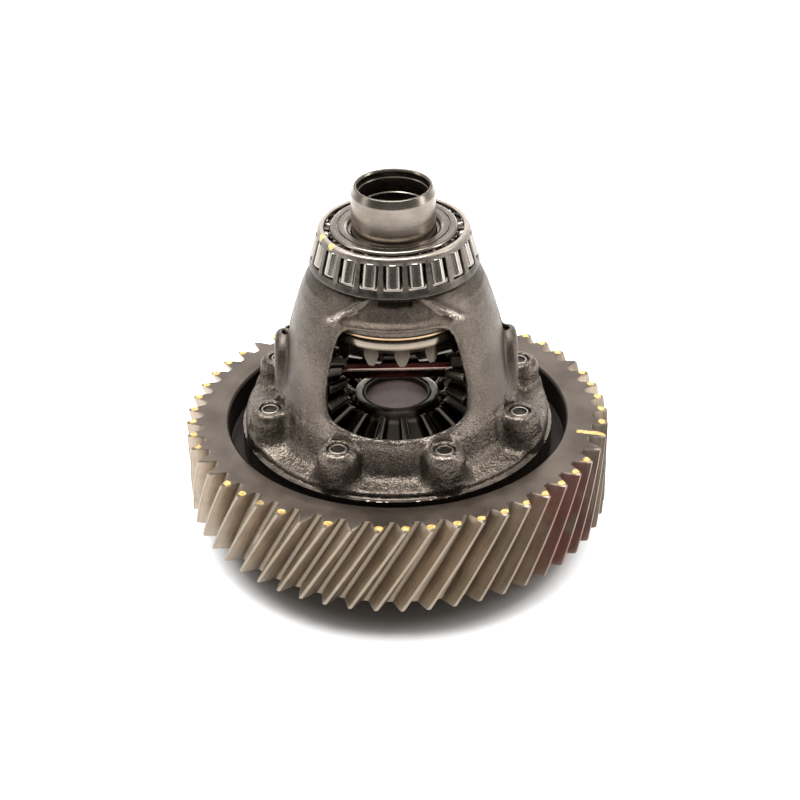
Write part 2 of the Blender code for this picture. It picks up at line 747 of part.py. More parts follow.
def roller_matrix(index):
    """Frame at a roller's centre: +Z along its axis to the small end, +X outward."""
    angle = ROLLER_FIRST_ANGLE + math.tau * index / ROLLER_COUNT
    radius, height = roller_point(0.0, 0.0)
    spin = Matrix.Rotation(angle, 4, "Z")
    tilt = Matrix.Rotation(-ROLLER_TILT, 4, "Y")
    return spin @ Matrix.Translation((radius, 0.0, height)) @ tilt


def roller_bmesh(bm, matrix, segments):
    length = ROLLER_SMALL_END - ROLLER_LARGE_END
    centre = (ROLLER_SMALL_END + ROLLER_LARGE_END) / 2
    bmesh.ops.create_cone(
        bm, cap_ends=True, segments=segments, radius1=roller_radius(ROLLER_LARGE_END),
        radius2=roller_radius(ROLLER_SMALL_END), depth=length,
        matrix=matrix @ Matrix.Translation((0.0, 0.0, centre)),
    )


def cage_windows(name, collection):
    """One block for every roller, reaching only through the cage's shell."""
    bm = bmesh.new()
    low = Vector((0.0012, -WINDOW_WIDTH / 2, WINDOW_LARGE_END))
    high = Vector((0.0090, WINDOW_WIDTH / 2, WINDOW_SMALL_END))
    for k in range(ROLLER_COUNT):
        size = Matrix.Diagonal((*(high - low), 1.0))
        matrix = roller_matrix(k) @ Matrix.Translation((high + low) / 2) @ size
        bmesh.ops.create_cube(bm, size=1.0, matrix=matrix)
    return from_bmesh(name, bm, collection)


def bearing_frame(level):
    if level == "upper":
        return Matrix.Translation((0.0, 0.0, SHOULDER_UPPER_Z))
    return Matrix.Translation((0.0, 0.0, SHOULDER_LOWER_Z)) @ Matrix.Rotation(math.pi, 4, "X")


def make_bearing(level, parts, guides, materials):
    frame = bearing_frame(level)
    cone = turned("bearing_cone_" + level, cone_profile(), parts)
    cage = turned("bearing_cage_" + level, cage_profile(), parts, steps=2 * ROLLER_COUNT)
    windows = cage_windows("cage_window_cutter_" + level, guides)
    cone.matrix_world = frame
    cage.matrix_world = frame @ Matrix.Rotation(ROLLER_FIRST_ANGLE, 4, "Z")
    windows.matrix_world = frame
    cut(cage, windows)
    finish_part(cone, materials["bearing_steel"])
    finish_part(cage, materials["cage_steel"])
    if level == "upper":
        make_loose_rollers(frame, parts, materials["roller_steel"])
    else:
        make_roller_ring(frame, parts, guides, materials["roller_steel"])


def make_loose_rollers(frame, parts, material):
    bm = bmesh.new()
    roller_bmesh(bm, Matrix.Identity(4), 14)
    mesh = bpy.data.meshes.new("bearing_roller")
    bm.to_mesh(mesh)
    bm.free()
    mesh.materials.append(material)
    mesh.shade_smooth()
    mesh.set_sharp_from_angle(angle=math.radians(35))
    for k in range(ROLLER_COUNT):
        roller = add_object("bearing_roller_upper_%02d" % (k + 1), mesh, parts)
        roller.matrix_world = frame @ roller_matrix(k)


def make_roller_ring(frame, parts, guides, material):
    """The lower rollers, held in one piece by a thin hoop through their middles."""
    hoop_half = 0.0005
    radius, height = roller_point(0.0, 0.0)
    outline = [
        (radius + hoop_half, height + hoop_half),
        (radius + hoop_half, height - hoop_half),
        (radius - hoop_half, height - hoop_half),
        (radius - hoop_half, height + hoop_half),
    ]
    ring = turned("bearing_rollers_lower", outline, parts, steps=ROLLER_COUNT)
    bm = bmesh.new()
    for k in range(ROLLER_COUNT):
        roller_bmesh(bm, roller_matrix(k), 8)
    rollers = from_bmesh("lower_rollers_guide", bm, guides)
    ring.matrix_world = frame @ Matrix.Rotation(ROLLER_FIRST_ANGLE, 4, "Z")
    rollers.matrix_world = frame
    join(ring, rollers)
    finish_part(ring, material)


# ---------------------------------------------------------------- assembly

def make_materials():
    return {
        "cast_iron": make_material("cast_iron", (0.20, 0.18, 0.16), 0.55, 0.85),
        "gear_steel": make_material("gear_steel", (0.25, 0.22, 0.20), 0.38, 0.95),
        "bolt_steel": make_material("bolt_steel", (0.30, 0.28, 0.26), 0.40, 0.95),
        "shaft_steel": make_material("shaft_steel", (0.33, 0.20, 0.17), 0.25, 0.95),
        "pin_steel": make_material("pin_steel", (0.22, 0.21, 0.20), 0.45, 0.95),
        "bevel_steel": make_material("bevel_steel", (0.42, 0.37, 0.33), 0.35, 0.95),
        "washer_steel": make_material("washer_steel", (0.46, 0.36, 0.29), 0.35, 0.95),
        "plug_steel": make_material("plug_steel", (0.36, 0.32, 0.30), 0.60, 0.60),
        "bearing_steel": make_material("bearing_steel", (0.55, 0.52, 0.49), 0.22, 1.0),
        "cage_steel": make_material("cage_steel", (0.50, 0.46, 0.43), 0.38, 0.95),
        "roller_steel": make_material("roller_steel", (0.45, 0.44, 0.41), 0.18, 1.0),
    }


def main():
    clear_scene()
    parts = make_collection("differential_assembly")
    guides = make_collection("cutters")
    materials = make_materials()
    make_case(parts, guides, materials["cast_iron"])
    make_ring_gear(parts, guides, materials["gear_steel"])
    make_bolts(parts, guides, materials["bolt_steel"])
    make_cross_shaft(parts, guides, materials["shaft_steel"], materials["pin_steel"])
    upper_side_phase = math.pi / SIDE_TEETH - LOWER_SIDE_PHASE
    make_side_gear("lower", LOWER_SIDE_PHASE, parts, guides, materials["bevel_steel"])
    make_side_gear("upper", -upper_side_phase, parts, guides, materials["bevel_steel"])
    make_plug(parts, materials["plug_steel"])
    for level in ("upper", "lower"):
        make_side_washer(level, parts, materials["washer_steel"])
        make_bearing(level, parts, guides, materials)
    for side in ("left", "right"):
        make_pinion(side, parts, guides, materials["bevel_steel"])
        make_pinion_washer(side, parts, guides, materials["washer_steel"])


main()
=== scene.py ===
"""The looks of the differential: a sand-cast case, a ground ring gear, forged bevel gears
and taper-roller bearings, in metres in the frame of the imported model."""
import functools
import math

import bmesh
import bpy
import numpy as np
from mathutils import Matrix, Vector


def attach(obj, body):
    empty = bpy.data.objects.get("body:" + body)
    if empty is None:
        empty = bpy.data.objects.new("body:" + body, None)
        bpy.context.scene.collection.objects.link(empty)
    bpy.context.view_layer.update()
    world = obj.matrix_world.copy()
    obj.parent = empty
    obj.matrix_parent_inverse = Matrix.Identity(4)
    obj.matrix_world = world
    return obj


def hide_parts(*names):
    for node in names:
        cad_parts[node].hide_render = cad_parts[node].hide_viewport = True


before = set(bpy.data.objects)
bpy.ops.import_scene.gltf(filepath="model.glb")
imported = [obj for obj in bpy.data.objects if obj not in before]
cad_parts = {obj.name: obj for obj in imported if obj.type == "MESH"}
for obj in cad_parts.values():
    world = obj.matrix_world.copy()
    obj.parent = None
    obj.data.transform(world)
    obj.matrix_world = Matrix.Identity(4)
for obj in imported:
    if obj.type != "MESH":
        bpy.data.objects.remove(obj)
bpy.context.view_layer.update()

MM = 0.001
TAU = math.tau

# Heights in millimetres above the lower hub's end face
APEX = 87.6
GEAR_TOP = 60.0
GEAR_BOTTOM = 14.5
SHOULDER_UPPER = 144.2
SHOULDER_LOWER = 29.7
HUB_TOP = 184.5
LEDGE = 77.5
WEB_TOP = 45.7
WEB_BOTTOM = 31.7

BOLTS = 8
BOLT_ANGLE = math.radians(-25.5)
BOLT_CIRCLE = 65.5

RING_TEETH = 53
RING_PHASE = math.radians(-0.14)
HELIX_TURN = math.radians(14.93)        # how far a tooth turns over the gear's height
GEAR_HEIGHT = GEAR_TOP - GEAR_BOTTOM

BEVEL_MODULE = 4.45
SIDE_TEETH = 16
PINION_TEETH = 11
SIDE_GEAR_PHASE = math.radians(6.95)    # lets the window show the teeth where the photo does
SIDE_PHASES = (SIDE_GEAR_PHASE, SIDE_GEAR_PHASE - math.radians(180 / SIDE_TEETH))    # lower, upper

ROLLERS = 21
ROLLER_MIDDLE = (34.3, 10.4)            # radius and height of its centre in the bearing's frame
ROLLER_R = 4.4                          # at the centre
ROLLER_ANGLE = math.radians(-91.3)
ROLLER_TILT = math.radians(14.2)
ROLLER_TAPER = math.radians(1.81)


# ------------------------------------------------------------ meshes

def in_metres(matrix):
    """The same placing, with its shift turned from millimetres into metres."""
    placed = matrix.copy()
    placed.translation = matrix.translation * MM
    return placed


def mesh_of(name, points, faces):
    """A mesh in metres from points in millimetres; quads and triangles may be mixed."""
    mesh = bpy.data.meshes.new(name)
    mesh.from_pydata((np.asarray(points, float) * MM).tolist(), [], [list(map(int, f)) for f in faces])
    return mesh


def new_object(name, data):
    obj = bpy.data.objects.new(name, data)
    bpy.context.scene.collection.objects.link(obj)
    return obj


def add_piece(name, shape, body, material, replaced=(), smooth=35.0, matrix=None):
    """A piece from a mesh in metres or from (points, faces). smooth is the least angle in degrees
    of an edge that stays sharp, and the matrix's shift is in millimetres."""
    mesh = shape if isinstance(shape, bpy.types.Mesh) else mesh_of(name, *shape)
    bm = bmesh.new()
    bm.from_mesh(mesh)
    bmesh.ops.remove_doubles(bm, verts=bm.verts, dist=2e-6)
    bmesh.ops.dissolve_degenerate(bm, edges=bm.edges, dist=1e-6)
    bmesh.ops.recalc_face_normals(bm, faces=bm.faces)
    bm.to_mesh(mesh)
    bm.free()
    mesh.shade_smooth()
    mesh.set_sharp_from_angle(angle=math.radians(smooth))
    mesh.materials.clear()
    mesh.materials.append(material)
    obj = new_object(name, mesh)
    if matrix is not None:
        obj.matrix_world = in_metres(matrix)
    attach(obj, body)
    if replaced:
        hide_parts(*replaced)
    return obj


def ring_faces(rows, columns, close_rows=True):
    """Quads over a grid of points that is closed round its columns, and round its rows if asked."""
    faces = []
    last = rows if close_rows else rows - 1
    for i in range(last):
        a = i * columns
        b = ((i + 1) % rows) * columns
        for j in range(columns):
            k = (j + 1) % columns
            faces.append((a + j, a + k, b + k, b + j))
    return faces


def filleted(outline):
    """(radius, height, fillet) corners of a closed outline, with each corner rounded off.
    A point beside each rounding keeps the shading of the long face next to it flat."""
    steps = 3
    beside = 0.25
    points = []
    for i, (r, z, fillet) in enumerate(outline):
        corner = np.array([r, z], float)
        if fillet <= 0:
            points.append(corner)
            continue
        before = np.array(outline[i - 1][:2], float) - corner
        after = np.array(outline[(i + 1) % len(outline)][:2], float) - corner
        reach_a = np.linalg.norm(before)
        reach_b = np.linalg.norm(after)
        size = min(fillet, 0.45 * reach_a, 0.45 * reach_b)
        start = corner + before / reach_a * size
        end = corner + after / reach_b * size
        if reach_a > 2 * (size + 2 * beside):
            points.append(corner + before / reach_a * (size + beside))
        for k in range(steps + 1):
            t = k / steps
            points.append((1 - t) ** 2 * start + 2 * t * (1 - t) * corner + t * t * end)
        if reach_b > 2 * (size + 2 * beside):
            points.append(corner + after / reach_b * (size + beside))
    return np.array(points)


def round_angles(count):
    return np.arange(count) * TAU / count


def circle(radius, z, angles):
    """Points at one height, at one radius or at each angle's own."""
    return np.stack([radius * np.cos(angles), radius * np.sin(angles), np.full(len(angles), z)], axis=1)


def turned(outline, segments):
    """A ring turned about Z; the outline runs down its outer side and up its inner one."""
    rings = [circle(r, z, round_angles(segments)) for r, z in filleted(outline)]
    return np.vstack(rings), ring_faces(len(rings), segments)


def capped(rings, top, bottom):
    """A solid of rings of points, with a fan at each end round a middle point of that height."""
    count = len(rings[0])
    middle = len(rings) * count
    faces = ring_faces(len(rings), count, close_rows=False)
    for j in range(count):
        k = (j + 1) % count
        faces += [(k, j, middle), (middle - count + j, middle - count + k, middle + 1)]
    return np.vstack(rings + [[(0, 0, top), (0, 0, bottom)]]), faces


def solid_turned(outline, segments):
    """A solid turned about Z from an outline that starts and ends near the axis, top first."""
    top, bottom = outline[0][1], outline[-1][1]
    profile = filleted([(0.0, top, 0)] + outline + [(0.0, bottom, 0)])
    return capped([circle(r, z, round_angles(segments)) for r, z in profile[1:-1]], top, bottom)


def moved(points, matrix):
    """Points in millimetres moved by a matrix whose shift is in millimetres too."""
    m = np.array(matrix, float)
    return np.asarray(points) @ m[:3, :3].T + m[:3, 3]


def merged(parts):
    verts, faces, shift = [], [], 0
    for points, part_faces in parts:
        verts.append(np.asarray(points))
        faces += [tuple(i + shift for i in face) for face in part_faces]
        shift += len(points)
    return np.vstack(verts), faces


# ------------------------------------------------------------ castings

def smooth_min(a, b, k):
    h = np.maximum(k - np.abs(a - b), 0.0) / k
    return np.minimum(a, b) - h * h * k * 0.25


def smooth_max(a, b, k):
    return -smooth_min(-a, -b, k)


def within(*fields):
    """What lies inside every one of the fields."""
    return functools.reduce(np.maximum, fields)


def smoothstep(low, high, x):
    t = np.clip((x - low) / (high - low), 0.0, 1.0)
    return t * t * (3 - 2 * t)


BELL_Z = [76.0, 85.0, 95.0, 104.0, 112.3, 119.5, 126.1, 132.2, 137.6, 140.4, 142.6, 144.2, 146.0]
BELL_R = [59.2, 57.5, 55.3, 53.2, 51.3, 49.3, 47.3, 45.3, 42.9, 40.6, 38.4, 36.0, 33.0]
WINDOW_Z = [79.6, 79.8, 80.3, 81.8, 83.6, 86.0, 89.5, 96.7, 104.0, 113.5, 119.8, 124.1, 126.9, 128.6, 129.6]
WINDOW_W = [2.0, 9.5, 15.8, 22.4, 27.8, 31.2, 32.8, 33.2, 32.2, 30.1, 28.4, 26.8, 24.8, 22.2, 17.4]


def window_edge(x, z):
    """Signed distance from the window's outline, which is given by its half widths at heights,
    seen from the front; below zero inside."""
    ends = [(0.0, WINDOW_Z[0])] + list(zip(WINDOW_W, WINDOW_Z)) + [(0.0, WINDOW_Z[-1])]
    px, pz = np.abs(x), z
    nearest = None
    inside = np.zeros(np.broadcast(px, pz).shape, bool)
    for (ax, az), (bx, bz) in zip(ends, ends[1:]):
        ex, ez = bx - ax, bz - az
        t = np.clip(((px - ax) * ex + (pz - az) * ez) / (ex * ex + ez * ez + 1e-9), 0, 1)
        d = np.hypot(px - ax - t * ex, pz - az - t * ez)
        nearest = d if nearest is None else np.minimum(nearest, d)
        if bz != az:
            crossing = (pz >= min(az, bz)) & (pz < max(az, bz)) & (px < ax + (pz - az) / (bz - az) * ex)
            inside = inside | crossing
    return np.where(inside, -nearest, nearest)


def case_field(x, y, z):
    """Signed distance from the surface of the casting, in millimetres, below zero in the metal."""
    r = np.hypot(x, y)
    angle = np.arctan2(y, x)
    front = np.abs(np.abs(angle) - math.pi / 2)          # 0 at the windows' middles
    front_degrees = np.degrees(front)
    inside_flange = 50.0 - z                             # cast parts end here, in the flange's disc

    # Bell, with the wall over each window set back between two slanting ridges
    ridge = np.interp(z, [128.0, 134.0, 139.0, 144.0], [39.0, 37.0, 28.5, 19.0])
    set_back = 1.9 * smoothstep(0.0, 7.0, ridge - front_degrees) * smoothstep(131.0, 134.6, z)
    bead = 1.9 * np.exp(-((front_degrees - ridge - 2.5) / 3.4) ** 2) * smoothstep(129.0, 133.0, z)
    bell_r = np.interp(z, BELL_Z, BELL_R) - set_back + bead
    bell = within(smooth_max((r - bell_r) * 0.97, z - SHOULDER_UPPER, 2.0), inside_flange)

    # Skirt under the ledge, and the cast top of the flange
    wave = np.cos(BOLTS * (angle - BOLT_ANGLE))
    side = smoothstep(52.0, 70.0, front_degrees)
    skirt_r = np.interp(z, [56.0, 60.0, 66.0, 74.0, 78.5], [66.0, 63.5, 61.0, 59.6, 58.6])
    skirt = within((r - skirt_r) * 0.95, z - LEDGE - 0.6)
    cast_r = 73.6 + 1.9 * side + 0.3 * wave
    cast_top = 59.6 + 4.4 * side + 1.6 * smoothstep(74.0, 62.0, r)
    cast = within(smooth_max((r - cast_r) * 0.9, z - cast_top, 1.6), inside_flange)
    body = smooth_min(smooth_min(bell, skirt, 1.2), cast, 3.5)

    # Bolt bosses: folding the angle makes one boss serve for all
    fold = np.mod(angle - BOLT_ANGLE + math.pi / BOLTS, TAU / BOLTS) - math.pi / BOLTS
    from_bolt = np.hypot(r * np.cos(fold) - BOLT_CIRCLE, r * np.sin(fold))
    boss = smooth_max(from_bolt - (9.9 + 0.045 * (LEDGE - z)), z - LEDGE, 6.0)
    body = smooth_min(body, within(boss, inside_flange), 4.5)

    # Pads round the ends of the cross shaft
    px = np.abs(x)
    pad = np.hypot(1.25 * y, np.maximum(z - APEX, 0.0)) - 19.8
    pad = within(smooth_max(pad, px - 59.2, 5.0), 46.0 - px, 60.0 - z)
    body = smooth_min(body, pad, 2.0)

    # Machined flange disc and the pilot under it
    rim = within(r - 77.0, z - 57.5, 46.0 - z)
    nose = (r - np.interp(z, [28.0, 32.5, 34.0], [36.5, 41.0, 60.0])) * 0.8
    pilot = within(r - 45.4, 29.8 - z, z - 56.0, nose)
    body = np.minimum(body, np.minimum(rim, pilot))

    # Space inside for the gears, and the windows that open it
    height = np.abs(z - APEX)
    ball = np.sqrt((z - APEX) ** 2 + r ** 2) - 47.6
    core = np.minimum(within(r - 42.2, height - 36.5), within(ball, height - 30.0))
    depth = np.abs(y)
    wall = np.sqrt(np.maximum(57.5 ** 2 - x * x, 0.0))
    sill_fall = 0.66 * np.clip(wall - depth, 0.0, 14.0) * smoothstep(104.0, 84.0, z)
    kept_lip = within(r - 39.3, 121.5 - z)
    window = within(window_edge(x, z + sill_fall) * 0.9, 20.0 - depth, -kept_lip)
    body = smooth_max(body, -window, 2.6)
    body = smooth_max(body, -core, 0.8)
    gear_bore = within(r - 21.4, height - 53.2)
    axle_bore = r - 16.85
    body = within(body, -gear_bore, -axle_bore)

    # Bolt holes, cross-shaft bore, pockets over the pads, puller notches
    body = within(body, -(from_bolt - 5.4))
    body = smooth_max(body, -within(from_bolt - 7.4, LEDGE - 0.7 - z), 0.6)
    body = within(body, -within(np.hypot(y, z - APEX) - 7.25, 40.0 - px))
    body = smooth_max(body, -within(np.hypot(px - 52.6, y) - 2.8, 102.5 - z), 0.8)
    return smooth_max(body, -within(px - 8.0, 139.9 - z, 33.0 - depth), 0.8)


def field_normals(field, p):
    step = 0.05
    normals = np.empty_like(p)
    for axis in range(3):
        shift = np.zeros(3)
        shift[axis] = step
        normals[:, axis] = field(*(p + shift).T) - field(*(p - shift).T)
    length = np.linalg.norm(normals, axis=1, keepdims=True)
    return normals / np.maximum(length, 1e-9)


def contour(field, low, high, pitch):
    """Dual contouring: quads round the field's zero surface, with its sharp edges kept."""
    axes = [np.arange(lo, hi + pitch, pitch) for lo, hi in zip(low, high)]
    shape = tuple(len(axis) for axis in axes)
    values = np.broadcast_to(field(*np.ix_(*axes)), shape).astype(np.float32)
    inside = values < 0

    # A point where each edge of the grid crosses the surface, and a quad of the four cells round it
    points, quads, flips = [], [], []
    for axis in range(3):
        changed = np.argwhere(np.diff(inside, axis=axis))
        u, v = [k for k in range(3) if k != axis]
        keep = (changed[:, u] > 0) & (changed[:, v] > 0)
        keep &= (changed[:, u] < shape[u] - 1) & (changed[:, v] < shape[v] - 1)
        changed = changed[keep]
        ahead = changed.copy()
        ahead[:, axis] += 1
        f0 = values[tuple(changed.T)].astype(float)
        f1 = values[tuple(ahead.T)].astype(float)
        p = np.stack([axes[k][changed[:, k]] for k in range(3)], axis=1)
        p[:, axis] += f0 / (f0 - f1) * pitch
        points.append(p)
        corners = []
        for du, dv in ((0, 0), (-1, 0), (-1, -1), (0, -1)):
            cell = changed.copy()
            cell[:, u] += du
            cell[:, v] += dv
            corners.append(np.ravel_multi_index(tuple(cell.T), shape))
        quads.append(np.stack(corners, axis=1))
        starts_inside = inside[tuple(changed.T)]
        flips.append(~starts_inside if axis == 1 else starts_inside)
    points, quads, flips = np.vstack(points), np.vstack(quads), np.concatenate(flips)

    # Each cell's corner lies where the tangent planes at its crossings meet, by least squares
    # with a slight pull to their middle
    pull = 0.08
    cell_ids, index = np.unique(quads, return_inverse=True)
    index = index.reshape(quads.shape)
    count = len(cell_ids)
    flat = index.ravel()
    hits = np.bincount(flat, minlength=count).astype(float)
    centre = np.stack([np.bincount(flat, np.repeat(points[:, k], 4), count) for k in range(3)], axis=1)
    centre /= hits[:, None]
    offset = np.repeat(points, 4, axis=0) - centre[flat]
    normals = np.repeat(field_normals(field, points), 4, axis=0)
    reach = np.einsum("ij,ij->i", normals, offset)
    matrix = np.empty((count, 3, 3))
    rhs = np.empty((count, 3))
    for i in range(3):
        rhs[:, i] = np.bincount(flat, normals[:, i] * reach, count)
        for j in range(3):
            matrix[:, i, j] = np.bincount(flat, normals[:, i] * normals[:, j], count)
    shift = np.linalg.solve(matrix + pull * np.eye(3), rhs[:, :, None])[:, :, 0]
    verts = centre + np.clip(shift, -0.75 * pitch, 0.75 * pitch)
    return verts, np.where(flips[:, None], index, index[:, ::-1])


# ------------------------------------------------------------ gear teeth

def ring_gear_ring(z, inset):
    """One closed line round the ring gear's teeth at a height; inset chamfers the tooth ends."""
    root_r, tip_r = 96.9, 104.95
    root_half, tip_half, belly = 4.25, 0.80, 1.1     # half the tooth's width, and its roundness
    flank_steps = 5
    pitch = TAU / RING_TEETH
    turn = RING_PHASE - HELIX_TURN * (GEAR_TOP - z) / GEAR_HEIGHT
    flank = []
    for k in range(flank_steps + 1):
        t = k / flank_steps
        radius = root_r + (tip_r - inset - root_r) * t
        half = root_half * (1 - t) + tip_half * t + belly * t * (1 - t) - inset * 0.75
        flank.append((radius, half / radius))
    half_line = [(root_r - 0.15, pitch / 2 - 0.0001), (root_r - 0.12, flank[0][1] + 0.006),
                 (flank[0][0] + 0.25, flank[0][1])]
    half_line += flank[1:]
    half_line.append((flank[-1][0], flank[-1][1] * 0.45))
    line = [(r, -h) for r, h in half_line] + half_line[::-1]
    radii = np.array([r for r, h in line] * RING_TEETH)
    angles = np.array([turn + tooth * pitch + h for tooth in range(RING_TEETH) for r, h in line])
    return circle(radii, z, angles)


def ring_gear_mesh():
    """Toothed lines up the outside, then plain circles down the inside, over the web and out again."""
    chamfer = 0.7
    slices = 14
    rings = [ring_gear_ring(GEAR_BOTTOM, chamfer)]
    rings += [ring_gear_ring(GEAR_BOTTOM + chamfer + (GEAR_HEIGHT - 2 * chamfer) * k / slices, 0.0)
              for k in range(slices + 1)]
    rings.append(ring_gear_ring(GEAR_TOP, chamfer))
    inside = [(95.6, GEAR_TOP), (91.0, GEAR_TOP), (85.3, GEAR_TOP), (84.9, 59.85), (84.1, 59.0),
              (84.0, 58.6), (84.0, 48.2), (83.4, 46.6), (81.9, 45.75), (60.0, WEB_TOP), (46.3, WEB_TOP),
              (45.8, 45.2), (45.8, 32.2), (46.3, WEB_BOTTOM)]
    underside = [(81.9, WEB_BOTTOM), (83.4, 30.9), (84.0, 29.2), (84.0, 16.2), (84.1, 15.6),
                 (85.3, GEAR_BOTTOM), (91.0, GEAR_BOTTOM), (95.6, GEAR_BOTTOM)]
    for ring, profile in ((rings[-1], inside), (rings[0], underside)):
        angles = np.arctan2(ring[:, 1], ring[:, 0])
        rings += [circle(r, z, angles) for r, z in profile]
    return np.vstack(rings), ring_faces(len(rings), len(rings[0]))


class Bevel:
    """Straight bevel teeth, as a line of (radius, depth, angle) points at the heel. Addendum and
    dedendum are in modules, the tooth's width is a share of the pitch, and play is in millimetres."""

    def __init__(self, teeth, mate, addendum, dedendum, width, play=0.0):
        addendum *= BEVEL_MODULE
        dedendum *= BEVEL_MODULE
        thickness = width * math.pi * BEVEL_MODULE - play
        pressure_angle = math.radians(17.5)
        flank_steps = 7
        self.cone = math.atan2(teeth, mate)
        pitch = teeth * BEVEL_MODULE / 2 / math.cos(self.cone)
        base = pitch * math.cos(pressure_angle)
        back_apex = teeth * BEVEL_MODULE / 2 / math.sin(self.cone) / math.cos(self.cone)
        flat = math.tan(pressure_angle) - pressure_angle
        flank = []
        for k in range(flank_steps + 1):
            d = pitch - dedendum + (addendum + dedendum) * k / flank_steps
            pressure = math.acos(min(1.0, base / d))
            half = thickness / 2 / pitch + flat - (math.tan(pressure) - pressure)
            flank.append([d, half])
        tip, tip_half = flank[-1]
        flank[-1] = [tip - 0.35, tip_half]
        flank += [[tip - 0.1, tip_half * 0.9], [tip, tip_half * 0.75]]
        line = [(d, -h) for d, h in flank] + [(d, h) for d, h in reversed(flank)]
        half_pitch = math.pi / teeth * math.cos(self.cone)
        space = half_pitch - flank[0][1]
        root = flank[0][0]
        floor = half_pitch - 0.35 * space
        line = [(root - 0.18, -floor)] + line + [(root - 0.18, floor)]
        self.line = []
        for tooth in range(teeth):
            for d, h in line:
                angle = TAU * tooth / teeth + h / math.cos(self.cone)
                self.line.append((d * math.cos(self.cone), back_apex - d * math.sin(self.cone), angle))
        self.root_r = root * math.cos(self.cone)
        self.root_h = back_apex - root * math.sin(self.cone)

    def ring(self, scale, phase, inset=0.0, fill=0.0, flush=None):
        """The toothed line at a scale from the apex. inset draws the tips in, and fill raises
        the floor of the tooth spaces; flush carries it out to a radius, with its floor at a depth."""
        out = []
        for r, h, a in self.line:
            rise = math.hypot(r - self.root_r, h - self.root_h)
            grown = max(rise, fill) - inset * min(1.0, rise / 2.0) - rise
            rr = r + grown * math.cos(self.cone)
            hh = h - grown * math.sin(self.cone)
            if flush:
                floor = 1.0 - min(1.0, max(0.0, (rise - fill) / 3.0))
                rr = flush[0]
                hh += (flush[1] - self.root_h + fill * math.sin(self.cone)) * floor - 0.14 * rise
            out.append((rr * scale * math.cos(a + phase), rr * scale * math.sin(a + phase), -hh * scale))
        return np.array(out)


def bevel_gear_mesh(bevel, phase, heel_rings, heel_profile, toe_profile):
    """A gear closed through its bore; the profiles run from the teeth at the heel to the bore,
    and from the bore to the teeth at the toe."""
    toe = 0.70                          # the toe's distance from the apex, with the heel's as 1
    slices = 8
    start = toe + 0.012
    end = heel_rings[0][0] - 0.02
    rings = [bevel.ring(toe, phase, 0.5)]
    rings += [bevel.ring(start + (end - start) * k / slices, phase) for k in range(slices + 1)]
    rings += [bevel.ring(scale, phase, inset, fill, flush) for scale, inset, fill, flush in heel_rings]
    angles = np.arctan2(rings[-1][:, 1], rings[-1][:, 0])
    rings += [circle(r, z, angles) for r, z in heel_profile + toe_profile]
    return np.vstack(rings), ring_faces(len(rings), len(angles))


def side_gear(phase):
    bevel = Bevel(SIDE_TEETH, PINION_TEETH, 0.88, 1.02, 0.41)
    heel_rings = [(0.95, 0.0, 0.3, None), (0.97, 0.0, 0.9, None), (0.99, 0.0, 1.7, None),
                  (1.0, 0.0, 1.9, (37.6, 27.2)), (1.0, 0.25, 1.9, (37.9, 27.4))]
    heel = [(38.1, -28.7), (38.3, -29.6), (38.3, -32.6), (38.0, -33.4), (37.2, -33.9), (36.9, -34.4),
            (36.5, -34.7), (28.0, -34.7), (21.8, -34.7), (21.0, -35.4), (21.0, -50.2), (20.4, -51.0),
            (14.8, -51.0), (14.0, -50.2)]
    toe = [(14.0, -20.4), (14.0, -19.9), (16.8, -19.9), (16.8, -16.1), (17.4, -15.4), (19.6, -15.4),
           (20.6, -15.7), (21.5, -16.8), (22.2, -18.6)]
    return bevel_gear_mesh(bevel, phase, heel_rings, heel, toe)


def pinion(phase):
    bevel = Bevel(PINION_TEETH, SIDE_TEETH, 0.85, 0.92, 0.57, 0.36)
    heel_rings = [(0.955, 0.0, 0.0, None), (0.965, 0.5, 0.0, None)]
    heel = [(19.6, -38.9), (20.0, -39.7), (20.0, -40.9), (16.0, -42.6), (12.0, -43.9), (8.2, -44.75),
            (7.4, -44.5)]
    toe = [(7.4, -27.6), (8.0, -26.9), (11.4, -26.9), (12.3, -27.3)]
    return bevel_gear_mesh(bevel, phase, heel_rings, heel, toe)


# ------------------------------------------------------------ bearings

def roller_point(along, outward):
    """Radius and height of a point given along a roller's axis and away from it."""
    s, c = math.sin(ROLLER_TILT), math.cos(ROLLER_TILT)
    radius, height = ROLLER_MIDDLE
    return radius - along * s + outward * c, height + along * c + outward * s


def roller_frame(index):
    radius, height = ROLLER_MIDDLE
    return (Matrix.Rotation(ROLLER_ANGLE + TAU * index / ROLLERS, 4, "Z")
            @ Matrix.Translation((radius, 0, height)) @ Matrix.Rotation(-ROLLER_TILT, 4, "Y"))


def roller_radius(along):
    return ROLLER_R - along * math.tan(ROLLER_TAPER)


def roller_mesh():
    small = roller_radius(5.7) - 0.02
    large = roller_radius(-5.9) - 0.02
    outline = [(0.9, 5.3, 0), (1.9, 5.45, 0.3), (2.2, 5.7, 0.1), (small, 5.7, 0.7), (large, -6.1, 0.7),
               (2.6, -6.1, 0.1), (2.2, -5.8, 0.3), (1.0, -5.65, 0)]
    return solid_turned(outline, 40)


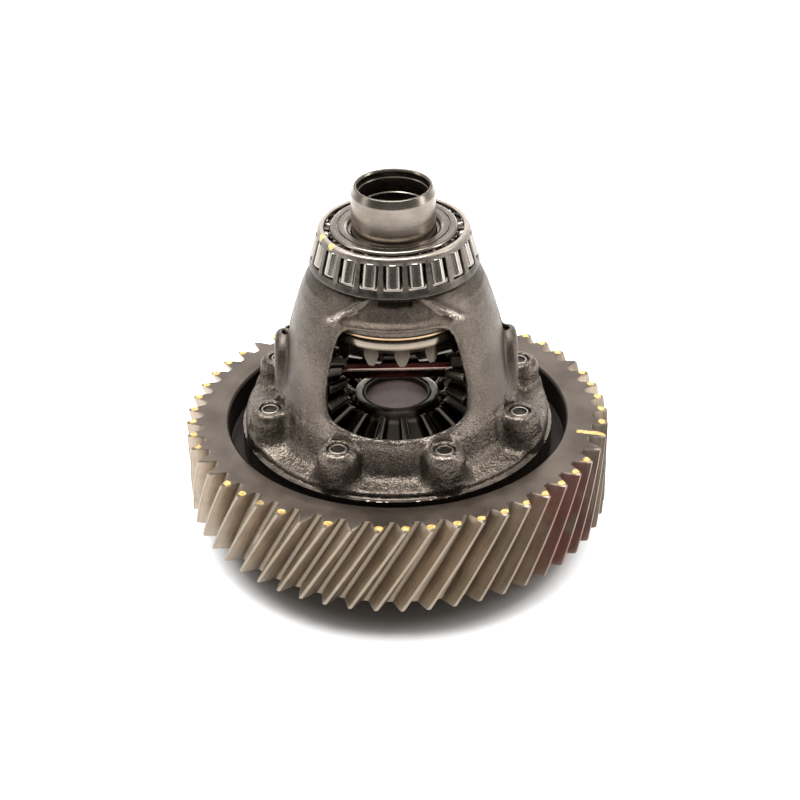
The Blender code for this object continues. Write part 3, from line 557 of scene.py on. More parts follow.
def cone_outline():
    """The inner race, whose track is the rollers' inner side less a small gap."""
    gap = 0.1
    small = roller_point(6.7, -roller_radius(6.7) - gap)
    large = roller_point(-6.2, -roller_radius(-6.2) - gap)
    rib = large[1] + (34.4 - large[0]) * math.tan(ROLLER_TILT)
    return [(23.5, 20.1, 0.3), (26.3, 20.1, 0.15), (26.4, 19.3, 0.05), (26.9, 19.3, 0.05), (27.0, 20.0, 0.15),
            (29.9, 20.0, 0.7), (30.6, 19.2, 0.5), (30.6, small[1] + 0.5, 0.2), (*small, 0.2),
            (*large, 0.15), (34.4, rib, 0.4), (34.4, 0.4, 0.8), (20.3, 0.4, 1.2), (20.3, 17.3, 0.3),
            (21.6, 17.6, 0.3), (22.3, 19.3, 0.3)]


def cage_outline():
    """A sloping shell 1.5 mm thick, turned in at the top."""
    slope = 5.1 / 17.8
    inset = 1.5 / math.cos(math.atan(slope))
    foot = 40.9
    shell = 41.0 - slope * 16.8 - inset
    return [(33.4, 19.3, 0.4), (35.3, 19.3, 1.0), (35.9, 18.8, 0.4), (foot, 1.0, 0.35),
            (foot - inset, 1.0, 0.35), (shell, 17.8, 0.6), (33.4, 17.8, 0.4)]


def cage_windows():
    """Rounded blocks, one for each roller, that reach only through the cage's shell."""
    bm = bmesh.new()
    size = Vector((7.8, 8.9, 12.3))
    middle = Vector((5.1, 0.0, -0.85))
    for k in range(ROLLERS):
        block = bmesh.new()
        bmesh.ops.create_cube(block, size=1.0)
        bmesh.ops.scale(block, vec=size, verts=block.verts)
        long_edges = [e for e in block.edges if abs((e.verts[0].co - e.verts[1].co).normalized().x) > 0.9]
        bmesh.ops.bevel(block, geom=long_edges, offset=0.7, segments=4, affect="EDGES", profile=0.5)
        matrix = Matrix.Scale(MM, 4) @ roller_frame(k) @ Matrix.Translation(middle)
        bmesh.ops.transform(block, matrix=matrix, verts=block.verts)
        mesh = bpy.data.meshes.new("block")
        block.to_mesh(mesh)
        block.free()
        bm.from_mesh(mesh)
        bpy.data.meshes.remove(mesh)
    mesh = bpy.data.meshes.new("cage_windows")
    bm.to_mesh(mesh)
    bm.free()
    return mesh


def cut_mesh(shape, cutter_mesh, edge=0.0):
    """Cuts a closed mesh with another and rounds the edges that the cut leaves."""
    target = new_object("cut", mesh_of("cut", *shape))
    cutter = new_object("cutter", cutter_mesh)
    modifier = target.modifiers.new("Cut", "BOOLEAN")
    modifier.operation = "DIFFERENCE"
    modifier.object = cutter
    if edge:
        bevel = target.modifiers.new("Edges", "BEVEL")
        bevel.width = edge * MM
        bevel.segments = 2
        bevel.limit_method = "ANGLE"
        bevel.angle_limit = math.radians(50)
    bpy.context.view_layer.update()
    depsgraph = bpy.context.evaluated_depsgraph_get()
    result = bpy.data.meshes.new_from_object(target.evaluated_get(depsgraph))
    for obj in (target, cutter):
        bpy.data.objects.remove(obj)
    return result


# ------------------------------------------------------------ materials

class Value:
    """A shader's number or colour; sums and products of it add Math nodes."""

    def __init__(self, graph, socket):
        self.graph = graph
        self.socket = socket

    def __add__(self, other):
        return self.graph.calc("ADD", self, other)

    def __sub__(self, other):
        return self.graph.calc("SUBTRACT", self, other)

    def __rsub__(self, other):
        return self.graph.calc("SUBTRACT", other, self)

    def __mul__(self, other):
        return self.graph.calc("MULTIPLY", self, other)

    def __truediv__(self, other):
        return self.graph.calc("DIVIDE", self, other)

    def __abs__(self):
        return self.graph.calc("ABSOLUTE", self, 0.0)

    __radd__ = __add__
    __rmul__ = __mul__


class Graph:
    """A node tree, with short calls for the nodes it uses."""

    def __init__(self, tree):
        self.tree = tree

    def node(self, kind, **settings):
        node = self.tree.nodes.new(kind)
        for key, value in settings.items():
            setattr(node, key, value)
        return node

    def link(self, source, target):
        if isinstance(source, Value):
            self.tree.links.new(source.socket, target)
        else:
            target.default_value = source

    def filled(self, kind, output, inputs, **settings):
        """A node's output, with its inputs given by name or number."""
        node = self.node(kind, **settings)
        for key, value in inputs.items():
            self.link(value, node.inputs[key])
        return Value(self, node.outputs[output])

    def calc(self, operation, a, b=0.0):
        return self.filled("ShaderNodeMath", 0, {0: a, 1: b}, operation=operation)

    def larger(self, a, b):
        return self.calc("MAXIMUM", a, b)

    def place(self, kind):
        """A texture coordinate, whole and split into its three numbers."""
        whole = self.filled("ShaderNodeTexCoord", kind, {})
        split = self.node("ShaderNodeSeparateXYZ")
        self.link(whole, split.inputs[0])
        return whole, [Value(self, socket) for socket in split.outputs]

    def vector(self, x, y, z):
        return self.filled("ShaderNodeCombineXYZ", 0, {0: x, 1: y, 2: z})

    def step(self, value, low, high, to_low=0.0, to_high=1.0, kind="SMOOTHSTEP"):
        limits = {"Value": value, "From Min": low, "From Max": high, "To Min": to_low, "To Max": to_high}
        return self.filled("ShaderNodeMapRange", "Result", limits, interpolation_type=kind)

    def fall(self, value, low, high):
        return self.step(value, low, high, 1.0, 0.0)

    def band(self, value, low, high, soft):
        """1 between two values, fading over a soft margin on each side."""
        rise = self.step(value, low - soft, low + soft)
        return rise * self.fall(value, high - soft, high + soft)

    def blend(self, factor, a, b):
        a, b = (c if isinstance(c, Value) else (*c, 1.0) for c in (a, b))
        return self.filled("ShaderNodeMix", 2, {0: factor, 6: a, 7: b}, data_type="RGBA")


class Finish(Graph):
    """A material on a Principled shader. Its colour is laid down in coats, then its roughness,
    metallic part and bumps follow. Places are in metres from the piece's own origin."""

    def __init__(self, name, metallic, roughness):
        self.material = bpy.data.materials.new(name)
        self.material.use_nodes = True
        super().__init__(self.material.node_tree)
        self.inputs = self.tree.nodes["Principled BSDF"].inputs
        self.inputs["Metallic"].default_value = metallic
        self.inputs["Roughness"].default_value = roughness
        self.object, (self.x, self.y, self.z) = self.place("Object")
        self.radius = self.calc("SQRT", self.x * self.x + self.y * self.y)
        self.angle = self.calc("ARCTAN2", self.y, self.x)
        self.colour = None
        self.normal = None

    def noise(self, scale, detail=4.0, roughness=0.6, place=None):
        inputs = {"Vector": place or self.object, "Scale": scale, "Detail": detail, "Roughness": roughness}
        return self.filled("ShaderNodeTexNoise", "Fac", inputs)

    def rings(self, scale, detail=3.0, roughness=0.6):
        """Noise drawn out into rings about Z, as a lathe leaves them."""
        return self.noise(scale, detail, roughness, self.vector(self.radius, 0.0, self.z))

    def cells(self, scale):
        return self.filled("ShaderNodeTexVoronoi", "Distance", {"Vector": self.object, "Scale": scale})

    def edges(self, low, high):
        """1 on the piece's sharp outer edges."""
        return self.step(self.filled("ShaderNodeNewGeometry", "Pointiness", {}), low, high)

    def mottle(self, tone, dark, light, low=0.35, high=0.65):
        return self.blend(self.step(tone, low, high), dark, light)

    def coat(self, mask, colour):
        """Lays a colour over what is there, as far as the mask says."""
        self.colour = self.blend(mask, self.colour, colour)

    def bump(self, height, distance, strength):
        inputs = {"Strength": strength, "Distance": distance, "Height": height}
        if self.normal:
            inputs["Normal"] = self.normal
        self.normal = self.filled("ShaderNodeBump", 0, inputs)

    def done(self, roughness=None, metallic=None):
        for key, value in (("Base Color", self.colour), ("Roughness", roughness), ("Metallic", metallic),
                           ("Normal", self.normal)):
            if value:
                self.link(value, self.inputs[key])
        return self.material


def turned_steel(name, dark, light, roughness):
    """Steel finished on a lathe or grinder: fine rings about Z, and cloudy handling marks."""
    f = Finish(name, 1.0, roughness)
    rings = f.rings(2200.0, 4.0)
    broad = f.rings(2200.0 / 9.0, 2.0, 0.5)
    clouds = f.noise(70.0)
    scuffs = f.step(f.noise(900.0, 5.0, 0.7), 0.58, 0.70)
    f.colour = f.mottle(rings * 0.45 + clouds * 0.55, dark, light)
    f.coat(scuffs * 0.25, [0.55 * c for c in dark])
    f.bump(rings, 0.00003, 0.6)
    f.bump(f.noise(5000.0, 2.0, 0.55), 0.000006, 0.5)
    return f.done(f.step(broad, 0.3, 0.7, roughness - 0.05, roughness + 0.07) + scuffs * 0.08)


def cast_iron():
    """Shot-blasted casting under a dark film of oil, with machined faces inside and on the rim; painted
    highlights and painted shade lie on its skin.
    """
    f = Finish("cast_iron", 0.92, 0.42)
    patches = f.noise(38.0)
    middle = f.noise(230.0, 3.0, 0.6)
    grain = f.noise(1150.0, 4.0, 0.65)
    fine = f.noise(2600.0, 2.0, 0.6)
    rings = f.rings(1800.0)
    front = abs(abs(f.angle) - math.pi / 2)         # 0 at the windows' middles

    # The rougher sand-cast skin low down, and painted highlights: bright specks all over, stronger low down
    # and along the window sills
    tone = grain * 0.60 + patches * 0.40
    f.colour = f.mottle(tone, (0.083, 0.068, 0.055), (0.178, 0.148, 0.121), 0.39, 0.61)
    f.coat(f.fall(f.cells(900.0), 0.0, 0.32) * 0.25, (0.035, 0.030, 0.027))
    sandy = f.step(f.z, 0.0880, 0.0800) * f.step(f.radius, 0.0440, 0.0480)
    painted_glint = f.step(fine, 0.55, 0.66) * f.step(middle, 0.40, 0.58)
    # painted highlight: bright specks standing in for glints
    f.coat(painted_glint * (0.30 + sandy * 0.45), (0.60, 0.51, 0.43))
    painted_sill_glint = f.band(f.z, 0.0745, 0.0865, 0.0030) * f.fall(front, 0.60, 0.80)
    # painted highlight: bright specks along the window sills
    f.coat(painted_sill_glint * f.step(fine, 0.46, 0.60) * 0.55, (0.62, 0.54, 0.46))
    f.coat(f.edges(0.52, 0.60) * f.step(middle, 0.40, 0.6) * 0.5, (0.38, 0.335, 0.295))

    # The paler recess over each window, a painted highlight on its slanting ridges, and painted shade on its
    # left and right sides
    slant = front + (f.z - 0.1324) * 28.6
    recess = f.step(slant, 0.56, 0.64, 0.40, 0.0) * f.step(f.z, 0.1290, 0.1310)
    f.coat(recess, f.mottle(grain, (0.200, 0.158, 0.122), (0.350, 0.283, 0.223)))
    ridge = f.band(slant, 0.655, 0.750, 0.050) * f.band(f.z, 0.1315, 0.1375, 0.0026)
    painted_ridge_glint = ridge * f.step(f.noise(850.0, 3.0, 0.65), 0.38, 0.58, 0.15, 1.0)
    # painted highlight: bright speckled colour on the slanting ridges
    f.coat(painted_ridge_glint, (0.82, 0.72, 0.63))
    painted_side_shade = f.step(front, 0.75, 1.15) * f.band(f.z, 0.0820, 0.1020, 0.0120)
    # painted shade: the bell's left and right sides darker round the pads
    f.coat(painted_side_shade * 0.55, (0.060, 0.050, 0.042))

    # Machined faces: the flange's rim and the seat inside the bell
    rim = f.step(f.radius, 0.0742, 0.0750) * f.fall(f.z, 0.0590, 0.0594)
    inner = f.fall(f.radius, 0.0425, 0.0430) * f.fall(f.z, 0.1243, 0.1247)
    machined = f.larger(rim, inner)
    turned_tone = f.mottle(rings, (0.075, 0.063, 0.053), (0.140, 0.118, 0.100))
    f.coat(machined, f.blend(rim * f.step(f.z, 0.0572, 0.0574), turned_tone, (0.25, 0.215, 0.182)))

    rough = f.step(middle * 0.6 + grain * 0.4, 0.35, 0.65, 0.33, 0.50)
    rough = rough - sandy * 0.07 - inner * 0.08 - painted_ridge_glint * 0.05
    sand = sandy * (f.cells(750.0) * 0.00022 + f.noise(520.0, 3.0, 0.6) * 0.00040)
    f.bump((grain * 0.00016 + middle * 0.00026 + sand) * (1.0 - machined), 1.0, 0.8)
    f.bump(rings, 0.00002, 0.4)
    return f.done(rough)


def paint_dab(f, ragged, centre, size):
    """A mask of a small paint dab round a point given in millimetres."""
    away = [(value - place * MM) * (1.0 / (size * MM)) for value, place in zip((f.x, f.y, f.z), centre)]
    distance = away[0] * away[0] + away[1] * away[1] + (away[2] * away[2] + ragged)
    return f.fall(distance, 1.2, 1.5)


def gear_steel():
    """Gear steel: turned faces, flanks ground along the helix, paint marks on the tooth ends, and painted
    shade in the tooth roots, on the teeth at the front right and in the bore.
    """
    f = Finish("gear_steel", 0.9, 0.42)
    unwound = f.angle - (f.z - GEAR_TOP * MM) * (HELIX_TURN / (GEAR_HEIGHT * MM))
    streaks = f.noise(1500.0, 4.0, 0.6, f.vector(unwound * 0.10, f.radius, f.z * 0.05))
    rings = f.noise(1500.0, 4.0, 0.6, f.vector(f.radius, 0.0, 0.0))
    clouds = f.noise(48.0)
    fine = f.noise(2600.0, 3.0, 0.6)
    tone = streaks * 0.5 + clouds * 0.5
    ends = f.larger(f.step(f.z, 0.05985, 0.0599), f.fall(f.z, 0.0146, 0.01465))
    flat = f.larger(ends, f.fall(f.radius, 0.0955, 0.0960))
    toothed = f.step(f.radius, 0.0962, 0.0975)
    below = f.step(f.z, 0.0597, 0.0592)             # off the top face

    f.colour = f.mottle(tone, (0.300, 0.243, 0.185), (0.470, 0.386, 0.298), 0.36, 0.64)
    # painted shade: the tooth roots darker
    f.coat(f.step(f.radius, 0.0968, 0.1000, 0.55, 0.0), (0.100, 0.078, 0.058))
    f.coat(f.step(f.radius, 0.1043, 0.1047, 0.0, 0.45), (0.17, 0.135, 0.10))
    face_tone = rings * 0.3 + clouds * 0.7
    f.coat(flat, f.mottle(face_tone, (0.110, 0.087, 0.069), (0.158, 0.127, 0.102), 0.36, 0.64))
    # painted shade: the teeth at the front right darker
    f.coat(f.band(f.angle, -1.20, -0.40, 0.25) * (toothed * 0.35) * below, (0.150, 0.118, 0.095))
    stain = f.band(f.angle, -0.88, -0.42, 0.16) * f.step(f.noise(45.0, 2.0, 0.55), 0.25, 0.50)
    f.coat(stain * toothed * (below * 0.80), (0.200, 0.085, 0.072))
    f.coat(f.edges(0.53, 0.60) * 0.5, (0.45, 0.40, 0.35))
    # painted shade: the bore and web nearly black
    f.coat(f.fall(f.radius, 0.0850, 0.0853) * 0.85, (0.026, 0.021, 0.020))

    # Paint: a ragged dab on most tooth ends, each a little off the middle, and one stroke
    turn = (f.angle - RING_PHASE) * (RING_TEETH / TAU) + 0.5
    chance = f.filled("ShaderNodeTexWhiteNoise", "Value", {"W": f.calc("FLOOR", turn)}, noise_dimensions="1D")
    sideways = (f.calc("FRACT", turn) - 0.5) * (TAU / RING_TEETH * 103.0)
    u = (sideways - (chance - 0.5) * 0.8) * (1.0 / 2.3)
    v = (f.radius - 0.1019) * (1.0 / 0.0019)
    ragged = f.noise(900.0, 3.0, 0.6) * 0.9
    dab = f.fall(u * u + v * v + ragged, 1.15, 1.4) * f.step(chance, 0.10, 0.12)
    mark = f.angle - math.radians(-13.6)
    stroke = f.band(mark, -0.0145, 0.0145, 0.0025) * f.band(f.radius, 0.0905, 0.1046, 0.0006)
    paint = f.larger(dab, stroke) * f.step(f.z, 0.0588, 0.0592)
    f.coat(paint, f.mottle(f.noise(500.0, 2.0, 0.55), (0.62, 0.34, 0.07), (0.95, 0.72, 0.28), 0.3, 0.7))

    marks = (1.0 - flat) * (streaks * 0.00006) + flat * (rings * 0.00003)
    f.bump(marks + fine * 0.00002, 1.0, 0.7)
    f.bump(paint, 0.0001, 0.6)
    return f.done(f.step(tone, 0.35, 0.65, 0.33, 0.47) + paint * 0.2, (1.0 - paint) * 0.9)


def forged_steel(name, dark, light, roughness, edge, core=None, toothed_from=None):
    """Forged and hardened steel with a satin skin and bright edges, partly wear and partly painted highlight.
    core is the radius inside which painted shade darkens the skin. toothed_from is the angle of a side gear's
    first tooth: its teeth and heel are darkened by painted shade, with painted highlights as bright lines by
    the edges of their top lands, and it has a bright turned band behind the heel."""
    f = Finish(name, 0.97, roughness)
    grain = f.noise(1700.0)
    clouds = f.noise(110.0)
    rings = f.rings(1300.0)
    shade = (0.070, 0.058, 0.045)
    rough = f.step(clouds, 0.35, 0.65, roughness - 0.05, roughness + 0.06)
    metal = None
    f.colour = f.mottle(clouds * 0.6 + grain * 0.4, dark, light, 0.36, 0.64)
    # bright edges: partly wear, partly painted highlight
    f.coat(f.edges(0.51, 0.56) * 0.85, edge)
    if toothed_from is not None:
        band = f.band(f.z, -0.0325, -0.0296, 0.0003) * f.step(f.radius, 0.0369, 0.0375)
        # painted shade: the outside of the heel darker
        f.coat(f.step(f.radius, 0.0360, 0.0366, 0.0, 0.68), shade)
        f.coat(band, f.mottle(rings, (0.19, 0.155, 0.122), (0.32, 0.27, 0.22)))
    if core:
        # painted shade: darker inside the core radius
        f.coat(f.step(f.radius, core - 0.0003, core + 0.0003, 0.75, 0.0), (0.02, 0.017, 0.015))
    if toothed_from is not None:
        turn = (f.angle - toothed_from) * (SIDE_TEETH / TAU)
        from_middle = abs(f.calc("FRACT", turn + 0.5) - 0.5)
        slope = f.z * -1.0 / f.radius
        toothed = f.step(f.z, -0.0295, -0.0288) * f.step(f.radius, 0.0235, 0.0240)
        # painted shade: the teeth darker
        f.coat(toothed * 0.80, shade)
        land = toothed * f.fall(slope, 0.66, 0.74) * f.fall(f.radius, 0.0362, 0.0368)
        # painted highlight: bright lines by the edges of the top lands
        line = land * f.band(from_middle, 0.085, 0.140, 0.02)
        f.coat(line, (0.97, 0.92, 0.84))
        rough = rough + line * 0.20
        metal = 0.97 - line * 0.80
    f.bump(grain, 0.00005, 0.6)
    f.bump(rings, 0.00002, 0.4)
    return f.done(rough, metal)


def shaft_steel():
    """Ground cross shaft under a thin brown film, with a painted highlight as a bright line and painted shade
    making it black above it.
    """
    f = Finish("shaft_steel", 0.95, 0.2)
    around = f.noise(2400.0, 4.0, 0.6, f.vector(f.x, 0.0, 0.0))
    film = f.noise(85.0)
    # painted highlight: a bright band where the shaft's highlight line falls
    painted_highlight_line = f.band(f.z, 0.0000, 0.0014, 0.0003)
    f.colour = f.mottle(film, (0.110, 0.026, 0.021), (0.200, 0.058, 0.047))
    f.coat(painted_highlight_line, f.mottle(around, (0.50, 0.43, 0.37), (0.68, 0.60, 0.53)))
    # painted shade: black above the highlight line
    f.coat(f.step(f.z, 0.0030, 0.0040), (0.008, 0.006, 0.005))
    f.coat(f.step(abs(f.x), 0.0450, 0.0465), f.mottle(film, (0.10, 0.078, 0.062), (0.19, 0.155, 0.128)))
    f.bump(around, 0.00002, 0.5)
    return f.done(f.step(film, 0.3, 0.7, 0.09, 0.16) + painted_highlight_line * 0.05)


def roller_steel():
    """Ground rollers: fine marks and a few oil smears."""
    f = Finish("roller_steel", 1.0, 0.16)
    smear = f.noise(520.0, 3.0, 0.6, f.vector(f.x, f.y, f.z * 0.08))
    f.colour = f.mottle(smear, (0.33, 0.300, 0.265), (0.47, 0.430, 0.385))
    f.bump(f.rings(3000.0), 0.00001, 0.4)
    return f.done(f.step(smear, 0.3, 0.7, 0.14, 0.22))


def cage_steel():
    """Pressed cage: satin, slightly mottled, with a painted highlight and two paint dabs on its top rim, and
    painted shade on its lower rim.
    """
    f = Finish("cage_steel", 0.95, 0.36)
    mottle = f.noise(420.0)
    clouds = f.noise(75.0)
    f.colour = f.mottle(mottle * 0.5 + clouds * 0.5, (0.112, 0.097, 0.081), (0.195, 0.171, 0.146), 0.36, 0.64)
    # painted highlight: a bright band on the top rim
    f.coat(f.step(f.z, 0.0181, 0.0190) * 0.8, (0.62, 0.545, 0.47))
    f.coat(f.edges(0.53, 0.60) * 0.6, (0.62, 0.56, 0.49))
    # painted shade: the lower rim darker
    f.coat(f.step(f.z, 0.0036, 0.0046, 0.50, 0.0), (0.048, 0.042, 0.036))
    ragged = f.noise(700.0, 3.0, 0.6) * 0.9
    spots = ((-33.8, -10.6, 19.0), (-29.3, -20.3, 19.0))
    dabs = f.larger(*[paint_dab(f, ragged, spot, 2.0) for spot in spots])
    f.coat(dabs, (0.90, 0.66, 0.24))
    f.bump(f.noise(1900.0, 3.0, 0.6), 0.00003, 0.6)
    f.bump(mottle, 0.00005, 0.4)
    return f.done(f.step(mottle, 0.35, 0.65, 0.30, 0.42) + dabs * 0.2, 0.95 - dabs * 0.95)


def plug_steel():
    """Pressed disc with a dull grey-brown skin and painted shade round its edge."""
    f = Finish("plug_steel", 0.25, 0.55)
    mottle = f.noise(190.0)
    f.colour = f.mottle(mottle, (0.255, 0.185, 0.160), (0.360, 0.270, 0.236))
    # painted shade: darker round the edge
    f.coat(f.step(f.radius, 0.0146, 0.0151), (0.050, 0.042, 0.036))
    f.bump(f.noise(1500.0, 3.0, 0.55), 0.00004, 0.6)
    return f.done(f.step(mottle, 0.3, 0.7, 0.46, 0.60))


def floor_finish():
    """White paper that glows away from the object, with a painted shadow round the object: the paper is
    darker there and does not glow.
    """
    f = Finish("floor", 0.0, 0.8)
    f.inputs["Specular IOR Level"].default_value = 0.1
    f.inputs["Emission Color"].default_value = (1.0, 1.0, 1.0, 1.0)
    across = f.x * 1.12
    forward = f.y + 0.004
    away = f.calc("SQRT", across * across + forward * forward)
    # painted light and shadow: the paper glows, but not round the object
    f.link(f.step(away, 0.095, 0.111, 0.0, 0.65), f.inputs["Emission Strength"])
    f.colour = f.blend(f.noise(3.0, 2.0, 0.5), (0.88, 0.875, 0.87), (0.91, 0.905, 0.90))
    # painted shadow: darker paper round the object
    f.coat(f.step(away, 0.085, 0.103, 0.80, 0.0), (0.25, 0.21, 0.18))
    return f.done()


# ------------------------------------------------------------ pieces

ROOT = "case_and_ring_gear"


def bearing_frame(level):
    if level == "upper":
        return Matrix.Translation((0, 0, SHOULDER_UPPER))
    return Matrix.Translation((0, 0, SHOULDER_LOWER)) @ Matrix.Rotation(math.pi, 4, "X")


def make_case(iron, steel):
    shape = contour(case_field, (-78.5, -78.5, 28.5), (78.5, 78.5, 146.0), 0.9)
    add_piece("case_casting", shape, ROOT, iron, ["differential_case"], 40)
    top = HUB_TOP
    upper = [(18.5, top, 0.25), (20.0, top - 3.7, 0.5), (20.0, 143.0, 0), (16.6, 143.0, 0),
             (16.0, top - 11.6, 0.1), (16.6, top - 11.2, 0.1), (16.6, top - 4.1, 0.1), (17.0, top - 3.7, 0.1),
             (17.0, top - 0.9, 0.1), (17.5, top, 0.1)]
    add_piece("case_upper_hub", turned(upper, 192), ROOT, steel)
    lower = [(20.0, 31.0, 0), (20.0, 3.7, 0.5), (18.5, 0.0, 0.25), (17.4, 0.0, 0.2), (16.6, 1.0, 0.2),
             (16.6, 31.0, 0)]
    add_piece("case_lower_hub", turned(lower, 192), ROOT, steel)


def bolt_shape():
    """A hexagon flange bolt about its own axis: tip, shank, flange, head."""
    half_across_flats = 7.95
    seat = WEB_BOTTOM - 0.3
    tip = LEDGE - 1.1
    bottom = seat - 7.9
    angles = round_angles(72)
    hexagon = half_across_flats / np.cos(np.mod(angles, TAU / 6) - TAU / 12)
    loops = [(1.5, tip - 0.9), (2.9, tip - 0.8), (3.4, tip - 0.1), (3.7, tip), (4.1, tip - 0.1),
             (5.0, tip - 1.0), (5.0, seat + 0.6), (5.2, seat), (9.7, seat), (10.0, seat - 0.3),
             (10.0, seat - 1.3), (9.6, seat - 1.7), (np.minimum(hexagon + 0.35, 9.55), seat - 2.0)]
    loops += [(np.minimum(hexagon, limit), z) for z, limit in
              ((seat - 2.7, 9.18), (bottom + 1.1, 9.18), (bottom + 0.5, 8.6), (bottom, 7.5))]
    loops += [(6.2, bottom), (5.6, bottom + 0.7), (1.5, bottom + 0.9)]
    return capped([circle(r, z, angles) for r, z in loops], tip - 0.6, bottom + 0.9)


def make_bolts(material):
    for k in range(BOLTS):
        angle = BOLT_ANGLE + TAU * k / BOLTS
        place = Matrix.Translation((BOLT_CIRCLE * math.cos(angle), BOLT_CIRCLE * math.sin(angle), 0))
        turn = Matrix.Rotation(0.7 * k * k, 4, "Z")
        add_piece("flange_bolt_%d" % (k + 1), bolt_shape(), ROOT, material,
                  ["ring_gear_bolt_%d" % (k + 1)], 30, place @ turn)


def make_cross_shaft(material, pin_material):
    half = 57.5
    pin_x = -51.5
    pin_half = 17.5
    outline = [(2.4, half - 0.5, 0.2), (3.0, half, 0.2), (6.3, half, 0.2), (7.0, half - 0.7, 0.3)]
    outline += [(r, -z, fillet) for r, z, fillet in reversed(outline)]
    points, faces = solid_turned(outline, 96)
    hole, hole_faces = solid_turned([(2.8, 20.0, 0), (2.8, -20.0, 0)], 40)
    cutter = mesh_of("pin_hole", moved(hole, Matrix.Translation((-pin_x, 0, 0))), hole_faces)
    mesh = cut_mesh((moved(points, Matrix.Rotation(math.pi / 2, 4, "Y")), faces), cutter)
    mesh.transform(Matrix.Scale(-1, 4, (1, 0, 0)))
    add_piece("pinion_shaft", mesh, ROOT, material, ["cross_shaft"],
              matrix=Matrix.Translation((0, 0, APEX)))
    pin = [(2.5, pin_half, 0.35), (2.5, -pin_half, 0.35), (1.5, -pin_half, 0.2), (1.5, pin_half, 0.2)]
    add_piece("shaft_spring_pin", turned(pin, 40), ROOT, pin_material, ["cross_shaft_lock_pin"],
              matrix=Matrix.Translation((pin_x, 0, 92)))


def make_bevel_gears(side_materials, pinion_material, plug_material, washer_material):
    lower = Matrix.Translation((0, 0, APEX))
    upper = lower @ Matrix.Rotation(math.pi, 4, "X")
    for level, place, phase, material in zip(("lower", "upper"), (lower, upper), SIDE_PHASES, side_materials):
        add_piece("bevel_side_gear_" + level, side_gear(phase), level + "_side_gear", material,
                  ["side_gear_" + level], 32, place)
    inner, outer = 45.8, 46.5           # the dished washers' radii about the apex
    low, high = 7.6 / outer, 19.5 / outer
    angles = [low + (high - low) * k / 8 for k in range(9)]
    dish = [(inner * math.sin(a), -inner * math.cos(a), 0) for a in reversed(angles)]
    dish += [(outer * math.sin(a), -outer * math.cos(a), 0) for a in angles]
    for side, turn in (("right", 0.0), ("left", math.pi)):
        place = lower @ Matrix.Rotation(turn, 4, "Z") @ Matrix.Rotation(-math.pi / 2, 4, "Y")
        phase = -SIDE_GEAR_PHASE * SIDE_TEETH / PINION_TEETH
        add_piece("bevel_pinion_" + side, pinion(phase), "pinion_" + side, pinion_material,
                  ["pinion_" + side], 32, place)
        add_piece("thrust_washer_" + side, turned(dish, 96), ROOT, washer_material,
                  ["pinion_washer_" + side], matrix=place)
    plug_top = APEX - 15.4 - 0.4
    plug = solid_turned([(15.0, plug_top - 2.6, 0.5), (15.4, plug_top, 0.3), (16.5, plug_top, 0.4),
                         (16.5, plug_top - 3.3, 0.4)], 128)
    add_piece("bore_plug", plug, "lower_side_gear", plug_material, ["side_gear_plug_lower"])
    for level, high, low in (("lower", APEX - 35.0, APEX - 36.2), ("upper", APEX + 36.2, APEX + 35.0)):
        outline = [(38.8, high, 0.2), (38.8, low, 0.2), (21.5, low, 0.2), (21.5, high, 0.2)]
        add_piece("thrust_washer_" + level, turned(outline, 128), ROOT, washer_material,
                  ["side_gear_washer_" + level])


def make_bearings(cone_material, cage_material, roller_material):
    for level in ("upper", "lower"):
        place = bearing_frame(level)
        add_piece("bearing_inner_ring_" + level, turned(cone_outline(), 192), ROOT,
                  cone_material, ["bearing_cone_" + level], 30, place)
        mesh = cut_mesh(turned(cage_outline(), 252), cage_windows(), 0.18)
        add_piece("roller_cage_" + level, mesh, level + "_cage", cage_material,
                  ["bearing_cage_" + level], 30, place)
    points, faces = roller_mesh()
    for k in range(ROLLERS):
        number = "%02d" % (k + 1)
        add_piece("taper_roller_upper_" + number, (points, faces), "upper_roller_" + number,
                  roller_material, ["bearing_roller_upper_" + number], 30,
                  bearing_frame("upper") @ roller_frame(k))
    lower = merged([(moved(points, roller_frame(k)), faces) for k in range(ROLLERS)])
    add_piece("taper_rollers_lower", lower, "lower_cage", roller_material,
              ["bearing_rollers_lower"], 30, bearing_frame("lower"))


def make_object():
    hub = turned_steel("hub_steel", (0.20, 0.174, 0.147), (0.32, 0.281, 0.240), 0.26)
    bearing = turned_steel("bearing_steel", (0.26, 0.228, 0.196), (0.40, 0.356, 0.312), 0.25)
    make_case(cast_iron(), hub)
    add_piece("ring_gear_body", ring_gear_mesh(), ROOT, gear_steel(), ["ring_gear"], 28)
    make_bolts(forged_steel("bolt_steel", (0.085, 0.073, 0.062), (0.165, 0.143, 0.122), 0.38,
                            (0.50, 0.44, 0.38), core=0.0033))
    pin = turned_steel("pin_steel", (0.16, 0.14, 0.12), (0.28, 0.25, 0.22), 0.35)
    make_cross_shaft(shaft_steel(), pin)
    side_gears = [forged_steel("bevel_steel_" + level, (0.19, 0.160, 0.130), (0.32, 0.275, 0.225), 0.19,
                               (0.88, 0.80, 0.70), core=0.0224, toothed_from=phase)
                  for level, phase in zip(("lower", "upper"), SIDE_PHASES)]
    pinion_metal = forged_steel("pinion_steel", (0.075, 0.065, 0.055), (0.15, 0.130, 0.110), 0.24,
                                (0.60, 0.54, 0.47))
    washer = turned_steel("washer_steel", (0.42, 0.29, 0.17), (0.62, 0.45, 0.28), 0.35)
    make_bevel_gears(side_gears, pinion_metal, plug_steel(), washer)
    make_bearings(bearing, cage_steel(), roller_steel())


# ------------------------------------------------------------ studio

def make_floor():
    half = 2000.0
    corners = [(-half, -half, 0), (half, -half, 0), (half, half, 0), (-half, half, 0)]
    mesh = mesh_of("floor", corners, [(0, 1, 2, 3)])
    mesh.materials.append(floor_finish())
    return new_object("floor", mesh)


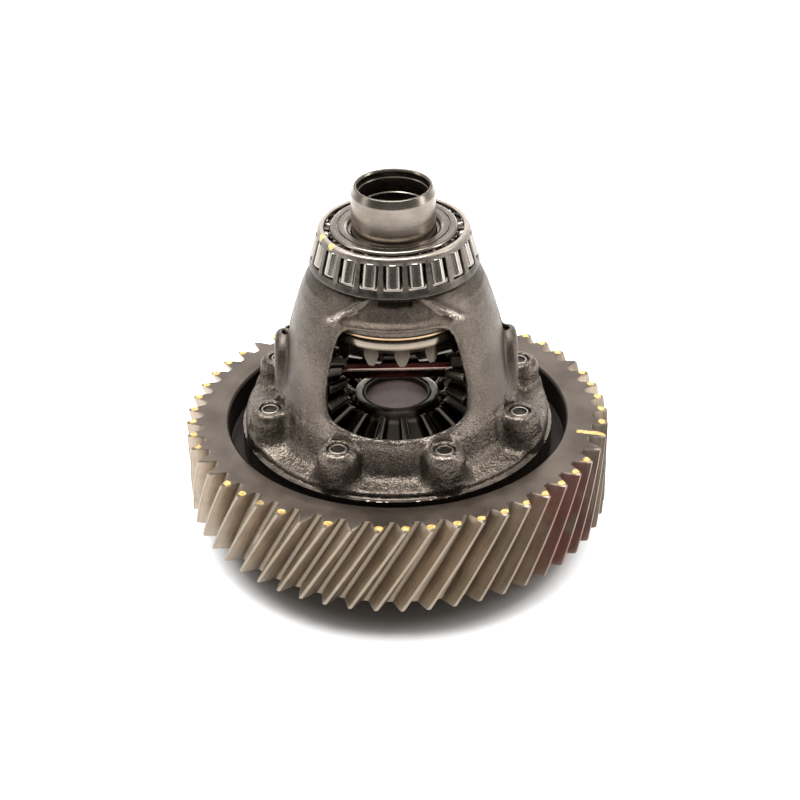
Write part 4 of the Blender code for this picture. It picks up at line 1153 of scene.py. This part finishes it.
def make_world():
    """Pale where it is seen, but dim and graded as light, so that metal keeps its dark reflections."""
    world = bpy.data.worlds.new("studio")
    bpy.context.scene.world = world
    world.use_nodes = True
    g = Graph(world.node_tree)
    seen = g.tree.nodes["Background"]
    seen.inputs["Color"].default_value = (1.0, 1.0, 1.0, 1.0)
    seen.inputs["Strength"].default_value = 1.0
    _, (_, y, z) = g.place("Generated")
    strength = g.step(z, 0.05, 0.85, 0.115, 0.34, "LINEAR") + g.step(y, -0.35, 0.65, 0.0, 0.45)
    light = g.filled("ShaderNodeBackground", 0, {"Color": (1.0, 0.985, 0.97, 1.0), "Strength": strength})
    by_eye = g.filled("ShaderNodeLightPath", "Is Camera Ray", {})
    mixed = g.filled("ShaderNodeMixShader", 0, {0: by_eye, 1: light, 2: Value(g, seen.outputs[0])})
    g.link(mixed, g.tree.nodes["World Output"].inputs["Surface"])


def area_light(name, place, size, power):
    data = bpy.data.lights.new(name, "AREA")
    data.shape = "RECTANGLE"
    data.size, data.size_y = size
    data.energy = power
    light = new_object(name, data)
    light.location = place
    aim = Vector((0.0, 0.0, 0.09))
    light.rotation_euler = (aim - Vector(place)).to_track_quat("-Z", "Y").to_euler()


def make_lights():
    area_light("overhead", (-0.15, 0.30, 1.75), (1.3, 1.1), 38.0)
    area_light("left_strip", (-1.35, -0.15, 0.62), (0.35, 1.2), 3.0)
    area_light("right_strip", (1.35, -0.15, 0.60), (0.28, 1.2), 6.3)
    area_light("back_strip", (0.10, 1.60, 0.50), (1.6, 0.25), 6.0)


def make_camera():
    """A long lens about a metre away, looking down on the window side."""
    elevation = math.radians(31.248)
    roll = math.radians(-1.051)
    data = bpy.data.cameras.new("camera")
    data.sensor_width = 36.0
    data.lens = 88.55
    data.shift_x = 0.0038
    data.clip_start = 0.05
    camera = new_object("camera", data)
    forward = Vector((0, math.cos(elevation), -math.sin(elevation)))
    up = Vector((0, math.sin(elevation), math.cos(elevation)))
    place = -forward * 983.92 + up * 5.77 + Vector((0, 0, GEAR_TOP))
    right = Vector((1, 0, 0))
    right_turned = right * math.cos(roll) + up * math.sin(roll)
    up_turned = up * math.cos(roll) - right * math.sin(roll)
    matrix = Matrix((right_turned, up_turned, -forward)).transposed().to_4x4()
    matrix.translation = place * MM
    camera.matrix_world = matrix
    bpy.context.scene.camera = camera


make_object()
floor = make_floor()
make_world()
make_lights()
make_camera()
bpy.context.scene.view_settings.view_transform = "Standard"
